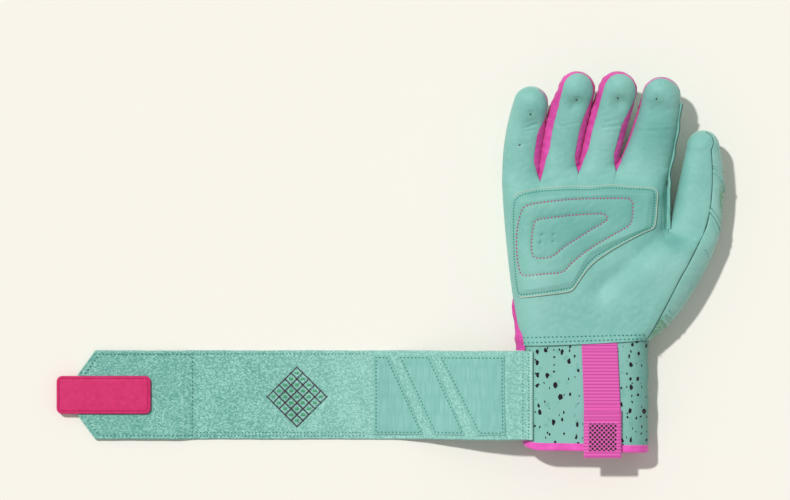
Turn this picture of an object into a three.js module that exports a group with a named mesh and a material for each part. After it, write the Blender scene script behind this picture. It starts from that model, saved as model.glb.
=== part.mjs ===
// Batting glove for the right hand, lying on its back with the palm up and the wrist strap laid out flat.
// Millimetres. +X points across the palm from the little finger to the thumb, +Y from the cuff to the
// fingertips, +Z up out of the palm. The origin is under the middle of the whole glove, on the surface
// that it lies on.

import * as THREE from 'three';
import { mergeVertices } from 'three/addons/utils/BufferGeometryUtils.js';

// Driving dimensions of the hand
const palmWidth = 94;
const palmLength = 98;
const wristWidth = 74;
const wristHeight = 26;
const wristShift = 1;
const palmMiddleHeight = 15;
const palmRise = 14.5;
const backDrop = 16;
const palmEdgeRoll = 17;
const wristEdgeRoll = 13;
const sideEdgeRoll = 11;
const webHalfHeight = 7;
const thumbWebHalfHeight = 2.6;
const ulnarBow = 1.6;
const thenarBow = 3.6;

// Where the palm begins to rise into the finger arches, where the wrist's section has become the palm's, and
// where the palm's relief is full, as shares of the way from wrist to roots
const archStartShare = 0.87;
const wristBlendShare = 0.5;
const reliefFadeShare = 0.33;

// Leather, stretch fabric and clearances
const leatherThickness = 0.9;
const stretchThickness = 0.7;
const clearance = 0.3;

// Points where the finger roots begin and end, as shares of the palm's width and length. The first is the
// outer edge of the little finger, then the three finger crotches, the index finger's outer edge, the thumb's
// crotch and the thumb's outer edge.
const rootPointShares = [
  [-0.497, 0.955], [-0.268, 0.944], [-0.038, 0.990], [0.189, 1.0], [0.509, 0.990], [0.509, 0.663], [0.812, 0.614],
];

// One stall for each finger and the thumb. reach is the plan distance from root to bulb centre, drift how far
// the bulb lies to the side, steer the same for the middle of the stall. Widths are full widths.
const fingers = [
  { name: 'little', segment: 0, reach: 44.0, drift: 5.6, steer: 0.2, rise: 11, middleWidth: 21.8, tipWidth: 19.8,
    thick: 19.0, tipThick: 18.0 },
  { name: 'ring', segment: 1, reach: 50.2, drift: 9.9, steer: 1.6, rise: 13, middleWidth: 21.9, tipWidth: 21.4,
    thick: 19.6, tipThick: 19.0 },
  { name: 'middle', segment: 2, reach: 46.9, drift: 11.6, steer: 4.6, rise: 13, middleWidth: 21.6, tipWidth: 22.6,
    thick: 20.0, tipThick: 19.6 },
  { name: 'index', segment: 3, reach: 43.8, drift: 10.7, steer: 7.8, rise: 11, middleWidth: 25.6, tipWidth: 22.2,
    thick: 21.0, tipThick: 19.4 },
];
const thumb = { name: 'thumb', segment: 5, reach: 50.0, drift: 6.4, steer: 6.6, rise: 6, middleWidth: 26.6,
  tipWidth: 19.4, thick: 23.0, tipThick: 19.0 };
const rootGap = 0.4;

// Where the front and back seams run round a stall, as shares of the half turn from the palm side (0) to the
// back (1), at five places of its outline: left side, left of the tip, tip, right of the tip, right side.
const seamShares = {
  little: { front: [0.50, 0.50, 0.50, 0.42, 0.21], back: [0.50, 0.50, 0.54, 0.60, 0.62] },
  ring: { front: [0.23, 0.24, 0.48, 0.34, 0.24], back: [0.64, 0.64, 0.66, 0.62, 0.62] },
  middle: { front: [0.25, 0.24, 0.46, 0.43, 0.29], back: [0.64, 0.64, 0.66, 0.62, 0.62] },
  index: { front: [0.40, 0.41, 0.48, 0.50, 0.50], back: [0.64, 0.64, 0.62, 0.50, 0.50] },
  thumb: { front: [0.50, 0.50, 0.46, 0.15, 0.15], back: [0.50, 0.50, 0.46, 0.15, 0.15] },
};

// The stretch of the tip, from its left (0) to its right (1), that each pink side strip starts and ends at.
// A strip that takes in an end of the tip also runs down that side.
const stripShares = { little: [0.5, 1], ring: [0, 1], middle: [0, 1], index: [0, 0.84] };
const stallRoundness = 0.86;

// Share of a stall's length from which its seams turn towards their places at the tip
const seamTurnShare = 0.6;

// Share of a stall's length over which its section turns from the root's line to its own
const rootTurnShare = 0.25;

// Palm seams, as shares of the way across the hand
const thenarSeamShare = 0.94;
const thenarSeamInsetShare = 0.014;
const wristGussetShare = 0.1;
const wristGussetReachShare = 0.3;
const wristGussetFillShare = 0.8;
const thenarSeamGap = 1.5;
const gussetSeamGap = 2.7;

// Relief of the palm: mounds and the crease beside the thumb's mound, as shares of the palm
const thenarMound = { at: [0.40, 0.46], height: 2.4, radius: 17 };
const heelMound = { at: [-0.24, 0.33], height: 1.2, radius: 19 };
const palmHollow = { at: [0.02, 0.44], height: -2.2, radius: 20 };
const lifeLine = { from: [0.50, 0.66], to: [0.10, 0.32], depth: 2.0, halfWidth: 6 };

// Palm pad: an overlay with a thin foam sheet under it, on shares of the hand's own grid
const padThickness = 1.2;
const foamThickness = 1.0;
const padSideShares = {
  ulnar: [[0.050, 0.915], [0.046, 0.80], [0.050, 0.64], [0.068, 0.48], [0.120, 0.31]],
  radial: [[0.560, 0.915], [0.585, 0.80], [0.565, 0.70], [0.480, 0.52], [0.368, 0.335]],
};
const foamInsetShare = 0.24;
const padSeat = 0.8;

// Cuff
const cuffHeight = 56.6;
const cuffUnderHem = 6;
const cuffThickness = 1.6;
const liningThickness = 0.6;
const slitShare = 0.06;
const strapSeatShare = 0.18;
const bindingDepth = 3.6;
const bindingProud = 0.4;
const bindingThickness = 3.0;

// Pull tab of ribbed webbing down the palm side of the cuff
const webbingWidth = 21.9;
const webbingShift = 8.9;
const webbingThickness = 1.4;
const loopRootDown = 37;
const loopLength = 26.6;
const loopThickness = 2.8;

// Wrist strap of two inch elastic
const strapWidth = 50.8;
const strapThickness = 2;
const strapTopDown = 3.1;
const strapEndInside = 6.7;
const strapRootOutside = 1.6;
const strapNearLength = 87;
const strapFarLength = 97;
const strapTipLength = 67;
const strapPointLength = 10;
const strapPointWidth = 23.2;
const strapFallLength = 76;

// Hook and loop fastener, and the tag at the strap's end
const fastenerThickness = 1.1;
const patchMargin = 2.6;
const patchBandShares = [
  { upper: [0.055, 0.158], lower: [0.055, 0.382] },
  { upper: [0.240, 0.441], lower: [0.470, 0.668] },
  { upper: [0.522, 0.925], lower: [0.762, 0.932] },
];
const hookMargin = 6;
const tagLength = 53.9;
const tagWidth = 21.8;
const tagThickness = 2.6;
const tagCornerRadius = 3.3;
const tagOverhang = 12;

// How finely the shapes are divided
const archSteps = 5;
const sideSteps = 3;
const roundSteps = 3;
const stallSteps = 5;
const tipSteps = 6;
const frontSteps = 4;
const stripSteps = 2;
const wrapSteps = 3;
const gussetSteps = 4;
const webSteps = 2;
const padRows = 8;
const padColumns = 10;
const wristSteps = 14;
const bandSteps = 3;
const strapFallSteps = 12;
const patchSteps = 6;
const cornerSteps = 4;
const leastColumnShare = 0.01;
const handRowShares = [0, 0.1, 0.24, 0.4, 0.55, 0.69, 0.8, 0.87, 0.92, 0.955, 0.98, 1];

// Colours
const mintLeather = 0x80beb1;
const mintFabric = 0x8cccbe;
const paleLining = 0xcfe5df;
const pinkStretch = 0xe83fae;
const pinkWebbing = 0xe242a6;
const roseRubber = 0xd9327c;
const foamGrey = 0xd8dcd6;

const glove = new THREE.Group();

// Adds one closed solid to the glove under its own name and material.
function addPart(name, geometry, color, roughness) {
  const material = new THREE.MeshStandardMaterial({ color, roughness, metalness: 0 });
  const mesh = new THREE.Mesh(geometry, material);
  mesh.name = name;
  glove.add(mesh);
}

const mix = (a, b, share) => a + (b - a) * share;
const clamp01 = (value) => Math.min(1, Math.max(0, value));
const smooth = (value) => clamp01(value) ** 2 * (3 - 2 * clamp01(value));
const steps = (count) => Array.from({ length: count + 1 }, (unused, index) => index / count);
const signedPower = (value, power) => Math.sign(value) * Math.abs(value) ** power;

// Closes the space between an outer and an inner grid of points into one solid. seamless names the grid
// edges that close on themselves and need no rim.
function solidBetween(outer, inner, seamless = []) {
  const corners = [];
  const triangle = (a, b, c) => {
    if (a.distanceTo(b) > 0 && b.distanceTo(c) > 0 && c.distanceTo(a) > 0) {
      corners.push(a, b, c);
    }
  };
  const quad = (a, b, c, d) => {
    triangle(a, b, c);
    triangle(a, c, d);
  };
  const lastRow = outer.length - 1;
  const lastColumn = outer[0].length - 1;
  for (let i = 0; i < lastRow; i += 1) {
    for (let j = 0; j < lastColumn; j += 1) {
      quad(outer[i][j], outer[i + 1][j], outer[i + 1][j + 1], outer[i][j + 1]);
      quad(inner[i][j], inner[i][j + 1], inner[i + 1][j + 1], inner[i + 1][j]);
    }
    if (!seamless.includes('firstColumn')) {
      quad(outer[i][0], inner[i][0], inner[i + 1][0], outer[i + 1][0]);
    }
    if (!seamless.includes('lastColumn')) {
      quad(outer[i + 1][lastColumn], inner[i + 1][lastColumn], inner[i][lastColumn], outer[i][lastColumn]);
    }
  }
  for (let j = 0; j < lastColumn; j += 1) {
    quad(outer[0][j + 1], inner[0][j + 1], inner[0][j], outer[0][j]);
    quad(outer[lastRow][j], inner[lastRow][j], inner[lastRow][j + 1], outer[lastRow][j + 1]);
  }
  return closedGeometry(corners);
}

// Makes a geometry of loose corners, with its faces turned outwards.
function closedGeometry(corners) {
  let volume = 0;
  for (let i = 0; i < corners.length; i += 3) {
    volume += corners[i].dot(new THREE.Vector3().crossVectors(corners[i + 1], corners[i + 2]));
  }
  const ordered = volume > 0 ? corners : [...corners].reverse();
  const geometry = new THREE.BufferGeometry().setFromPoints(ordered);
  const merged = mergeVertices(geometry);
  merged.computeVertexNormals();
  return merged;
}

// Moves every point of a grid along the grid's own normal, which points away from the side that the first
// row and column turn anticlockwise round.
function offsetGrid(grid, distance) {
  const lastRow = grid.length - 1;
  const lastColumn = grid[0].length - 1;
  return grid.map((row, i) => row.map((point, j) => {
    const along = grid[Math.min(lastRow, i + 1)][j].clone().sub(grid[Math.max(0, i - 1)][j]);
    const across = row[Math.min(lastColumn, j + 1)].clone().sub(row[Math.max(0, j - 1)]);
    const normal = along.cross(across).normalize();
    return point.clone().addScaledVector(normal, distance);
  }));
}

// The hand's own grid: u runs across from the little finger's edge (0) to the thumb's edge (1), v from the
// wrist (0) to the finger roots (1).
const rootPoints = rootPointShares.map(([x, y]) => new THREE.Vector2(x * palmWidth, y * palmLength));
const rootSpans = rootPoints.slice(1).map((point, i) => point.distanceTo(rootPoints[i]));
const wholeSpan = rootSpans.reduce((sum, span) => sum + span);
const rootBreaks = rootSpans.reduce((list, span) => [...list, list[list.length - 1] + span / wholeSpan], [0]);
const sideSegment = 4;
const crotchHeights = [
  0, webHalfHeight, webHalfHeight, webHalfHeight, leatherThickness, thumbWebHalfHeight, 0,
];
const stalls = [...fingers, thumb];

// Finds the root segment that u falls in, and how far along it.
function segmentAt(u) {
  const found = rootBreaks.findIndex((limit, i) => i > 0 && u <= limit) - 1;
  const segment = found < 0 ? rootSpans.length - 1 : found;
  const share = (u - rootBreaks[segment]) / (rootBreaks[segment + 1] - rootBreaks[segment]);
  return { segment, share: clamp01(share) };
}

function rootPlace(u) {
  const { segment, share } = segmentAt(u);
  const bulged = (1 - signedPower(Math.cos(Math.PI * share), stallRoundness)) / 2;
  return rootPoints[segment].clone().lerp(rootPoints[segment + 1], segment === sideSegment ? share : bulged);
}

function planPoint(u, v) {
  const wrist = new THREE.Vector2(wristShift - wristWidth / 2 * Math.cos(Math.PI * u), 0);
  const point = wrist.lerp(rootPlace(u), v);
  const bow = 4 * v * (1 - v);
  point.x += bow * (thenarBow * u ** 3 - ulnarBow * (1 - u) ** 3);
  point.y -= bow * thenarBow * u ** 3 / 2;
  return point;
}

// Quarter-round rise from an edge: 0 on the edge, 1 from one roll radius inwards.
const rollOff = (distance, radius) => Math.sqrt(1 - (1 - clamp01(distance / radius)) ** 2);

function distanceToSegment(point, from, to) {
  const line = to.clone().sub(from);
  const share = clamp01(point.clone().sub(from).dot(line) / line.lengthSq());
  return point.distanceTo(from.clone().addScaledVector(line, share));
}

const palmPlace = ([x, y]) => new THREE.Vector2(x * palmWidth, y * palmLength);

function mound(point, { at, height, radius }) {
  return height * Math.exp(-point.distanceToSquared(palmPlace(at)) / radius ** 2);
}

function palmRelief(point) {
  const creaseDistance = distanceToSegment(point, palmPlace(lifeLine.from), palmPlace(lifeLine.to));
  const crease = lifeLine.depth * Math.exp(-((creaseDistance / lifeLine.halfWidth) ** 2));
  return mound(point, thenarMound) + mound(point, heelMound) + mound(point, palmHollow) - crease;
}

// A point on the hand's outside. side is 1 on the palm and -1 on the back.
function handPoint(u, v, side) {
  const point = planPoint(u, v);
  const edgeRoll = mix(wristEdgeRoll, palmEdgeRoll, smooth(v / wristBlendShare));
  const fullness = rollOff(point.distanceTo(planPoint(0, v)), edgeRoll)
    * rollOff(point.distanceTo(planPoint(1, v)), edgeRoll)
    * rollOff(distanceToSegment(point, rootPoints[sideSegment], rootPoints[sideSegment + 1]), sideEdgeRoll);
  const middle = mix(wristHeight / 2, palmMiddleHeight, smooth(v / wristBlendShare));
  const rise = side > 0 ? palmRise : backDrop;
  const swell = mix(wristHeight / 2, rise, smooth(v / wristBlendShare)) * fullness;
  const relief = side > 0 ? palmRelief(point) * smooth(v / reliefFadeShare) * fullness : 0;
  const { segment, share } = segmentAt(u);
  const floor = mix(crotchHeights[segment], crotchHeights[segment + 1], share);
  const stall = stalls.find((one) => one.segment === segment);
  const arch = stall ? (stall.thick / 2 - floor) * Math.sin(Math.PI * share) ** stallRoundness : 0;
  const height = mix(swell + relief, floor + arch, smooth((v - archStartShare) / (1 - archStartShare)));
  const seamHalfGap = side * clearance;
  return new THREE.Vector3(point.x, point.y, Math.max(0, middle + seamHalfGap + side * height));
}

// Columns across the hand at every root segment.
function handColumns(uFrom, uTo) {
  const columns = [];
  rootSpans.forEach((span, segment) => {
    const count = segment === sideSegment ? sideSteps : archSteps;
    for (let k = 0; k < count; k += 1) {
      columns.push(mix(rootBreaks[segment], rootBreaks[segment + 1], k / count));
    }
  });
  columns.push(1);
  const inside = columns.filter((u) => u > uFrom + leastColumnShare && u < uTo - leastColumnShare);
  return [uFrom, ...inside, uTo];
}

const gussetEdge = (v) => wristGussetShare * clamp01(1 - v / wristGussetReachShare);
const thenarSeam = (v) => thenarSeamShare - thenarSeamInsetShare * 4 * v * (1 - v);

function palmPanel() {
  const columns = handColumns(0, thenarSeamShare);
  const outer = handRowShares.map((v) => columns.map((u) => {
    const from = gussetEdge(v);
    const across = mix(from, thenarSeam(v), u / thenarSeamShare);
    return handPoint(across, v, 1);
  }));
  addPart('palm_panel', solidBetween(outer, offsetGrid(outer, leatherThickness)), mintLeather, 0.55);
}

function backPanel() {
  const columns = handColumns(0, 1).reverse();
  const outer = handRowShares.map((v) => {
    const wrapped = steps(wrapSteps).slice(0, -1).map((share) => (
      handPoint(mix(thenarSeam(v) + thenarSeamGap / wholeSpan, 1, share), v, 1)));
    const from = gussetEdge(v);
    const under = columns.map((u) => handPoint(mix(from, 1, u), v, -1));
    return [...wrapped, ...under];
  });
  addPart('back_panel', solidBetween(outer, offsetGrid(outer, leatherThickness)), mintLeather, 0.6);
}

// Pink stretch wedge at the little finger's side of the wrist, between the palm and the back.
function wristGusset() {
  const rows = steps(gussetSteps).map((share) => share * wristGussetReachShare * wristGussetFillShare);
  const outer = rows.map((v) => {
    const edge = gussetEdge(v) - gussetSeamGap / wholeSpan;
    const onPalm = steps(webSteps).map((share) => handPoint(edge * share, v, 1)).reverse();
    const onBack = steps(webSteps).map((share) => handPoint(edge * share, v, -1));
    return [...onPalm, ...onBack];
  });
  const inner = offsetGrid(outer, -stretchThickness);
  addPart('wrist_gusset', solidBetween(outer, inner), pinkStretch, 0.7);
}

// The pink web that closes a finger crotch between the palm and the back.
function crotchWeb(name, index) {
  const place = rootPoints[index];
  const halfHeight = webHalfHeight - leatherThickness - clearance;
  const halfWidth = webHalfHeight / 2;
  const sheet = (forward) => steps(webSteps).map((up) => steps(webSteps).map((across) => new THREE.Vector3(
    place.x + mix(-halfWidth, halfWidth, across),
    place.y + forward - stretchThickness - 2 * clearance,
    palmMiddleHeight + mix(-halfHeight, halfHeight, up),
  )));
  addPart(name, solidBetween(sheet(0), sheet(stretchThickness)), pinkStretch, 0.7);
}

// A stall's path: root, steering point and bulb centre, with its widths and half thicknesses.
function stallPath(stall) {
  const from = rootPoints[stall.segment];
  const to = rootPoints[stall.segment + 1];
  const rootCentre = from.clone().add(to).multiplyScalar(0.5);
  return {
    root: new THREE.Vector3(rootCentre.x, rootCentre.y, palmMiddleHeight),
    steer: new THREE.Vector3(rootCentre.x + stall.steer, rootCentre.y + stall.reach / 2, palmMiddleHeight),
    bulb: new THREE.Vector3(rootCentre.x + stall.drift, rootCentre.y + stall.reach, palmMiddleHeight + stall.rise),
    rootAcross: new THREE.Vector3(to.x - from.x, to.y - from.y, 0).normalize(),
    halfWidths: [from.distanceTo(to) / 2 - clearance, stall.middleWidth / 2, stall.tipWidth / 2],
    halfThicknesses: [stall.thick / 2, stall.thick / 2, stall.tipThick / 2],
  };
}

const throughThree = ([start, middle, end], t) => (
  start * (1 - t) * (1 - 2 * t) + middle * 4 * t * (1 - t) + end * t * (2 * t - 1));

function stallFrame(path, t) {
  const early = path.root.clone().lerp(path.steer, t);
  const late = path.steer.clone().lerp(path.bulb, t);
  const forward = late.clone().sub(early).normalize();
  const across = new THREE.Vector3(forward.y, -forward.x, 0).normalize();
  const up = new THREE.Vector3().crossVectors(across, forward).normalize();
  const turned = path.rootAcross.clone().lerp(across, smooth(t / rootTurnShare)).normalize();
  return { centre: early.lerp(late, t), forward, across: turned, up };
}

// A point on a stall. place has t along the stall and turn round the tip, from 0 on the left side to 1 on
// the right side; around is the half turn from the palm (0) to the back (1); inset moves it inwards.
function stallPoint(path, place, around, inset) {
  const { centre, forward, across, up } = stallFrame(path, place.t);
  const angle = Math.PI * place.turn;
  const outward = across.multiplyScalar(-Math.cos(angle)).addScaledVector(forward, Math.sin(angle));
  const halfWidth = throughThree(path.halfWidths, place.t) - inset;
  const halfThickness = throughThree(path.halfThicknesses, place.t) - inset;
  return centre
    .addScaledVector(outward, halfWidth * Math.sin(Math.PI * around) ** stallRoundness)
    .addScaledVector(up, halfThickness * signedPower(Math.cos(Math.PI * around), stallRoundness));
}

// Places round a stall's outline: up the left side, over the tip and down the right side.
function stallPlaces(stall) {
  const start = rootGap / stall.reach;
  const side = steps(stallSteps).map((share) => mix(start, 1, share));
  const left = side.map((t) => ({ t, turn: 0 }));
  const tip = steps(tipSteps).slice(1, -1).map((turn) => ({ t: 1, turn }));
  const right = [...side].reverse().map((t) => ({ t, turn: 1 }));
  return [...left, ...tip, ...right];
}

// The front and back seams at one place of the outline, as shares of the half turn.
function seamsAt(name, { t, turn }) {
  const run = clamp01((t - seamTurnShare) / (1 - seamTurnShare));
  const side = turn === 0 ? run : 4 - run;
  const position = t < 1 ? side : 1 + 2 * turn;
  const index = Math.min(3, Math.floor(position));
  const pick = (shares) => mix(shares[index], shares[index + 1], smooth(position - index));
  return [pick(seamShares[name].front), pick(seamShares[name].back)];
}

function stallPanels(stall) {
  const path = stallPath(stall);
  const places = stallPlaces(stall);
  const halfGap = clearance / 2 / (Math.PI / 2 * stall.tipWidth / 2);
  const grid = (chosen, range, count, inset) => chosen.map((place) => {
    const [from, to] = range(place);
    return steps(count).map((share) => stallPoint(path, place, mix(from, to, share), inset));
  });
  const panel = (name, chosen, range, count, thickness, seamless, color) => {
    const outer = grid(chosen, range, count, 0);
    const inner = grid(chosen, range, count, thickness);
    addPart(name, solidBetween(outer, inner, seamless), color, 0.6);
  };
  const front = (place) => [0, seamsAt(stall.name, place)[0] - halfGap];
  const back = (place) => [seamsAt(stall.name, place)[1] + halfGap, 1];
  const side = (place) => {
    const [from, to] = seamsAt(stall.name, place);
    return [from + halfGap, to - halfGap];
  };
  panel(`${stall.name}_front`, places, front, frontSteps, leatherThickness, ['firstColumn'], mintLeather);
  panel(`${stall.name}_back`, places, back, frontSteps, leatherThickness, ['lastColumn'], mintLeather);
  const strip = stripShares[stall.name];
  if (strip) {
    const chosen = places.filter((place) => place.turn >= strip[0] && place.turn <= strip[1]);
    panel(`${stall.name}_fourchette`, chosen, side, stripSteps, stretchThickness, [], pinkStretch);
  }
}

// The palm pad's grid on the hand: a runs across, b down towards the wrist.
function alongTable(table, share) {
  const place = share * (table.length - 1);
  const index = Math.min(table.length - 2, Math.floor(place));
  return table[index].map((value, k) => mix(value, table[index + 1][k], place - index));
}

function padLayer(name, low, high, inset, thickness, color) {
  const shares = (count) => steps(count).map((share) => mix(inset, 1 - inset, share));
  const surface = shares(padRows).map((b) => shares(padColumns).map((a) => {
    const ulnar = alongTable(padSideShares.ulnar, b);
    const radial = alongTable(padSideShares.radial, b);
    return handPoint(mix(ulnar[0], radial[0], a), mix(ulnar[1], radial[1], a), 1);
  }));
  const outwardOf = offsetGrid(surface, 1);
  const lift = (a, b) => mix(low, high, smooth(4 * Math.min(a, 1 - a, b, 1 - b)));
  const layer = (extra) => surface.map((row, i) => row.map((point, j) => {
    const raised = inset > 0 ? low : lift(j / (row.length - 1), i / (surface.length - 1));
    const normal = outwardOf[i][j].clone().sub(point);
    return point.clone().addScaledVector(normal, raised + extra);
  }));
  addPart(name, solidBetween(layer(thickness), layer(0)), color, 0.6);
}

function palmPad() {
  const overFoam = padSeat + foamThickness + clearance;
  padLayer('palm_pad_foam', padSeat - clearance, padSeat - clearance, foamInsetShare, foamThickness, foamGrey);
  padLayer('palm_pad', padSeat, overFoam, 0, padThickness, mintLeather);
}

// The wrist's section, drawn in by inset. side is 1 on the palm and -1 on the back.
function wristSection(u, side, inset, y) {
  const half = wristWidth / 2 - inset;
  const x = -half * Math.cos(Math.PI * u);
  const fullness = rollOff(half - Math.abs(x), wristEdgeRoll - inset);
  const z = wristHeight / 2 + side * (wristHeight / 2 - inset) * fullness;
  return new THREE.Vector3(x + wristShift, y, z);
}

// A band round the wrist, open at the slit on the little finger's side.
function wristBand(name, top, bottom, inset, thickness, rows, color) {
  const onPalm = steps(wristSteps).map((share) => [mix(slitShare, 1, share), 1]);
  const onBack = [...onPalm].reverse().slice(1).map(([u]) => [u, -1]);
  const ring = [...onPalm, ...onBack];
  const sheet = (depth) => steps(rows).map((share) => (
    ring.map(([u, side]) => wristSection(u, side, depth, mix(top, bottom, share)))));
  addPart(name, solidBetween(sheet(inset), sheet(inset + thickness)), color, 0.8);
}

const cuffInset = leatherThickness + clearance;

function cuff() {
  const liningInset = cuffInset + cuffThickness + clearance;
  wristBand('cuff_panel', cuffUnderHem, -cuffHeight, cuffInset, cuffThickness, bandSteps, mintFabric);
  wristBand('cuff_lining', cuffUnderHem, -cuffHeight, liningInset, liningThickness, bandSteps, paleLining);
  const edge = -cuffHeight - clearance;
  wristBand('cuff_binding', edge, edge - bindingDepth, cuffInset - bindingProud, bindingThickness, 1, pinkStretch);
}

// A flat slab between two corners.
function slab(name, low, high, color, roughness) {
  const geometry = new THREE.BoxGeometry(high.x - low.x, high.y - low.y, high.z - low.z);
  geometry.translate((low.x + high.x) / 2, (low.y + high.y) / 2, (low.z + high.z) / 2);
  addPart(name, geometry, color, roughness);
}

const cuffTop = wristHeight - cuffInset;

function pullTab() {
  const left = webbingShift - webbingWidth / 2;
  const right = webbingShift + webbingWidth / 2;
  const base = cuffTop + bindingProud + clearance;
  const fixedEnd = -loopRootDown + loopThickness / 2 + clearance;
  slab('pull_tab_webbing', new THREE.Vector3(left, fixedEnd, base),
    new THREE.Vector3(right, -clearance, base + webbingThickness), pinkWebbing, 0.75);
  const radius = loopThickness / 2;
  const sheet = (side) => slabStations(loopRootDown, loopRootDown + loopLength - radius, 1, radius, true, true)
    .map(({ run, half }) => [right, left].map((x) => new THREE.Vector3(x, -run, base + radius + side * half)));
  addPart('pull_tab_loop', solidBetween(sheet(1), sheet(-1)), pinkWebbing, 0.75);
}

// The strap's run, from its sewn end on the cuff down to the floor. run is counted from the first fold.
const strapMiddleY = -strapTopDown - strapWidth / 2;
const strapRootX = wristShift - wristWidth / 2 - strapRootOutside;
const strapRootHeight = wristSection(strapSeatShare, 1, cuffInset, 0).z + clearance + strapThickness;
const strapTipRise = fastenerThickness + clearance;
const foldGap = strapThickness / 2 + clearance;
const strapFarStart = strapNearLength;
const strapTipStart = strapFarStart + strapFarLength;
const strapEnd = strapTipStart + strapTipLength;

function strapUnderside(run) {
  const fall = (strapRootHeight - strapThickness) * (1 - smooth(run / strapFallLength));
  const tip = strapTipRise * smooth((run - strapTipStart) / strapPointLength);
  return fall + tip;
}

// Stations along a flat slab, with half round ends where asked, so that a fold turns in its neighbour's end.
function slabStations(from, to, count, radius, roundStart, roundEnd) {
  const turns = steps(roundSteps).slice(0, -1).map((share) => share * Math.PI / 2);
  const round = (end, direction) => turns.map((turn) => (
    { run: end + direction * radius * Math.cos(turn), half: radius * Math.sin(turn) }));
  const straight = steps(count).map((share) => ({ run: mix(from, to, share), half: radius }));
  return [
    ...(roundStart ? round(from, -1) : []),
    ...straight,
    ...(roundEnd ? round(to, 1).reverse() : []),
  ];
}

const fullWidth = () => strapWidth / 2;
const pointedWidth = (run) => (
  mix(strapWidth / 2, strapPointWidth / 2, clamp01((run - strapEnd + strapPointLength) / strapPointLength)));

// A length of the strap. halfWidth gives the half width at a run.
function strapLength(name, stations, halfWidth) {
  const sheet = (side) => stations.map(({ run, half }) => {
    const z = strapUnderside(run) + strapThickness / 2 + side * half;
    return [1, -1].map((edge) => new THREE.Vector3(strapRootX - run, strapMiddleY + edge * halfWidth(run), z));
  });
  addPart(name, solidBetween(sheet(1), sheet(-1)), mintFabric, 0.85);
}

function strap() {
  const radius = strapThickness / 2;
  const stations = (from, to, count, roundStart) => slabStations(from, to, count, radius, roundStart, false);
  const anchorEnd = -strapEndInside - strapRootOutside;
  strapLength('strap_anchor', stations(anchorEnd, -foldGap, 1, false), fullWidth);
  strapLength('strap_near', stations(0, strapFarStart - foldGap, strapFallSteps, true), fullWidth);
  strapLength('strap_far', stations(strapFarStart, strapTipStart - foldGap, 1, true), fullWidth);
  const shoulder = strapEnd - strapPointLength;
  const tipStations = [
    ...stations(strapTipStart, strapTipStart + strapPointLength, 2, true),
    ...stations(shoulder, strapEnd, 1, false),
  ];
  strapLength('strap_tip', tipStations, pointedWidth);
}

// Loop patches: slanted bands on the strap's near stretch, as shares of its length from the fold inwards.
function loopPatch(name, { upper, lower }) {
  const half = strapWidth / 2 - patchMargin;
  const sheet = (extra) => steps(patchSteps).map((share) => [1, 0, -1].map((side) => {
    const bounds = [0, 1].map((k) => mix(lower[k], upper[k], (side + 1) / 2));
    const run = strapNearLength * (1 - mix(bounds[0], bounds[1], share));
    const z = strapUnderside(run) + strapThickness + clearance + extra;
    return new THREE.Vector3(strapRootX - run, strapMiddleY + side * half, z);
  }));
  addPart(name, solidBetween(sheet(fastenerThickness), sheet(0)), mintFabric, 0.9);
}

function hookPatch() {
  const low = new THREE.Vector3(strapRootX - strapEnd + hookMargin, strapMiddleY - strapWidth / 2 + hookMargin, 0);
  const high = new THREE.Vector3(
    strapRootX - strapTipStart - strapPointLength, strapMiddleY + strapWidth / 2 - hookMargin, fastenerThickness);
  slab('hook_patch', low, high, mintFabric, 0.9);
}

function tag() {
  const shape = new THREE.Shape();
  const halfLength = tagLength / 2;
  const halfTag = tagWidth / 2;
  const r = tagCornerRadius;
  shape.moveTo(-halfLength + r, -halfTag);
  shape.lineTo(halfLength - r, -halfTag);
  shape.absarc(halfLength - r, -halfTag + r, r, -Math.PI / 2, 0);
  shape.absarc(halfLength - r, halfTag - r, r, 0, Math.PI / 2);
  shape.absarc(-halfLength + r, halfTag - r, r, Math.PI / 2, Math.PI);
  shape.absarc(-halfLength + r, -halfTag + r, r, Math.PI, Math.PI * 3 / 2);
  const geometry = new THREE.ExtrudeGeometry(shape, { depth: tagThickness, bevelEnabled: false, curveSegments: cornerSteps });
  const centreX = strapRootX - strapEnd - tagOverhang + halfLength;
  geometry.translate(centreX, strapMiddleY, strapTipRise + strapThickness + clearance);
  addPart('strap_tag', closedFrom(geometry), roseRubber, 0.4);
}

// Merges a ready-made geometry's corners by position alone.
function closedFrom(geometry) {
  geometry.deleteAttribute('normal');
  geometry.deleteAttribute('uv');
  const merged = mergeVertices(geometry);
  merged.computeVertexNormals();
  return merged;
}

palmPanel();
backPanel();
wristGusset();
crotchWeb('web_little_ring', 1);
crotchWeb('web_ring_middle', 2);
crotchWeb('web_middle_index', 3);
stalls.forEach(stallPanels);
palmPad();
cuff();
pullTab();
strap();
patchBandShares.forEach((band, index) => loopPatch(`loop_patch_${index + 1}`, band));
hookPatch();
tag();

const bounds = new THREE.Box3().setFromObject(glove);
const middle = bounds.getCenter(new THREE.Vector3());
glove.position.set(-middle.x, -middle.y, -bounds.min.z);

export default glove;
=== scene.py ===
# %% [markdown]
# A batting glove for the right hand lies on its back, palm up, with its long wrist strap laid out flat. The
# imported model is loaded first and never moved: every piece below is placed on it by the same formulas.

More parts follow.
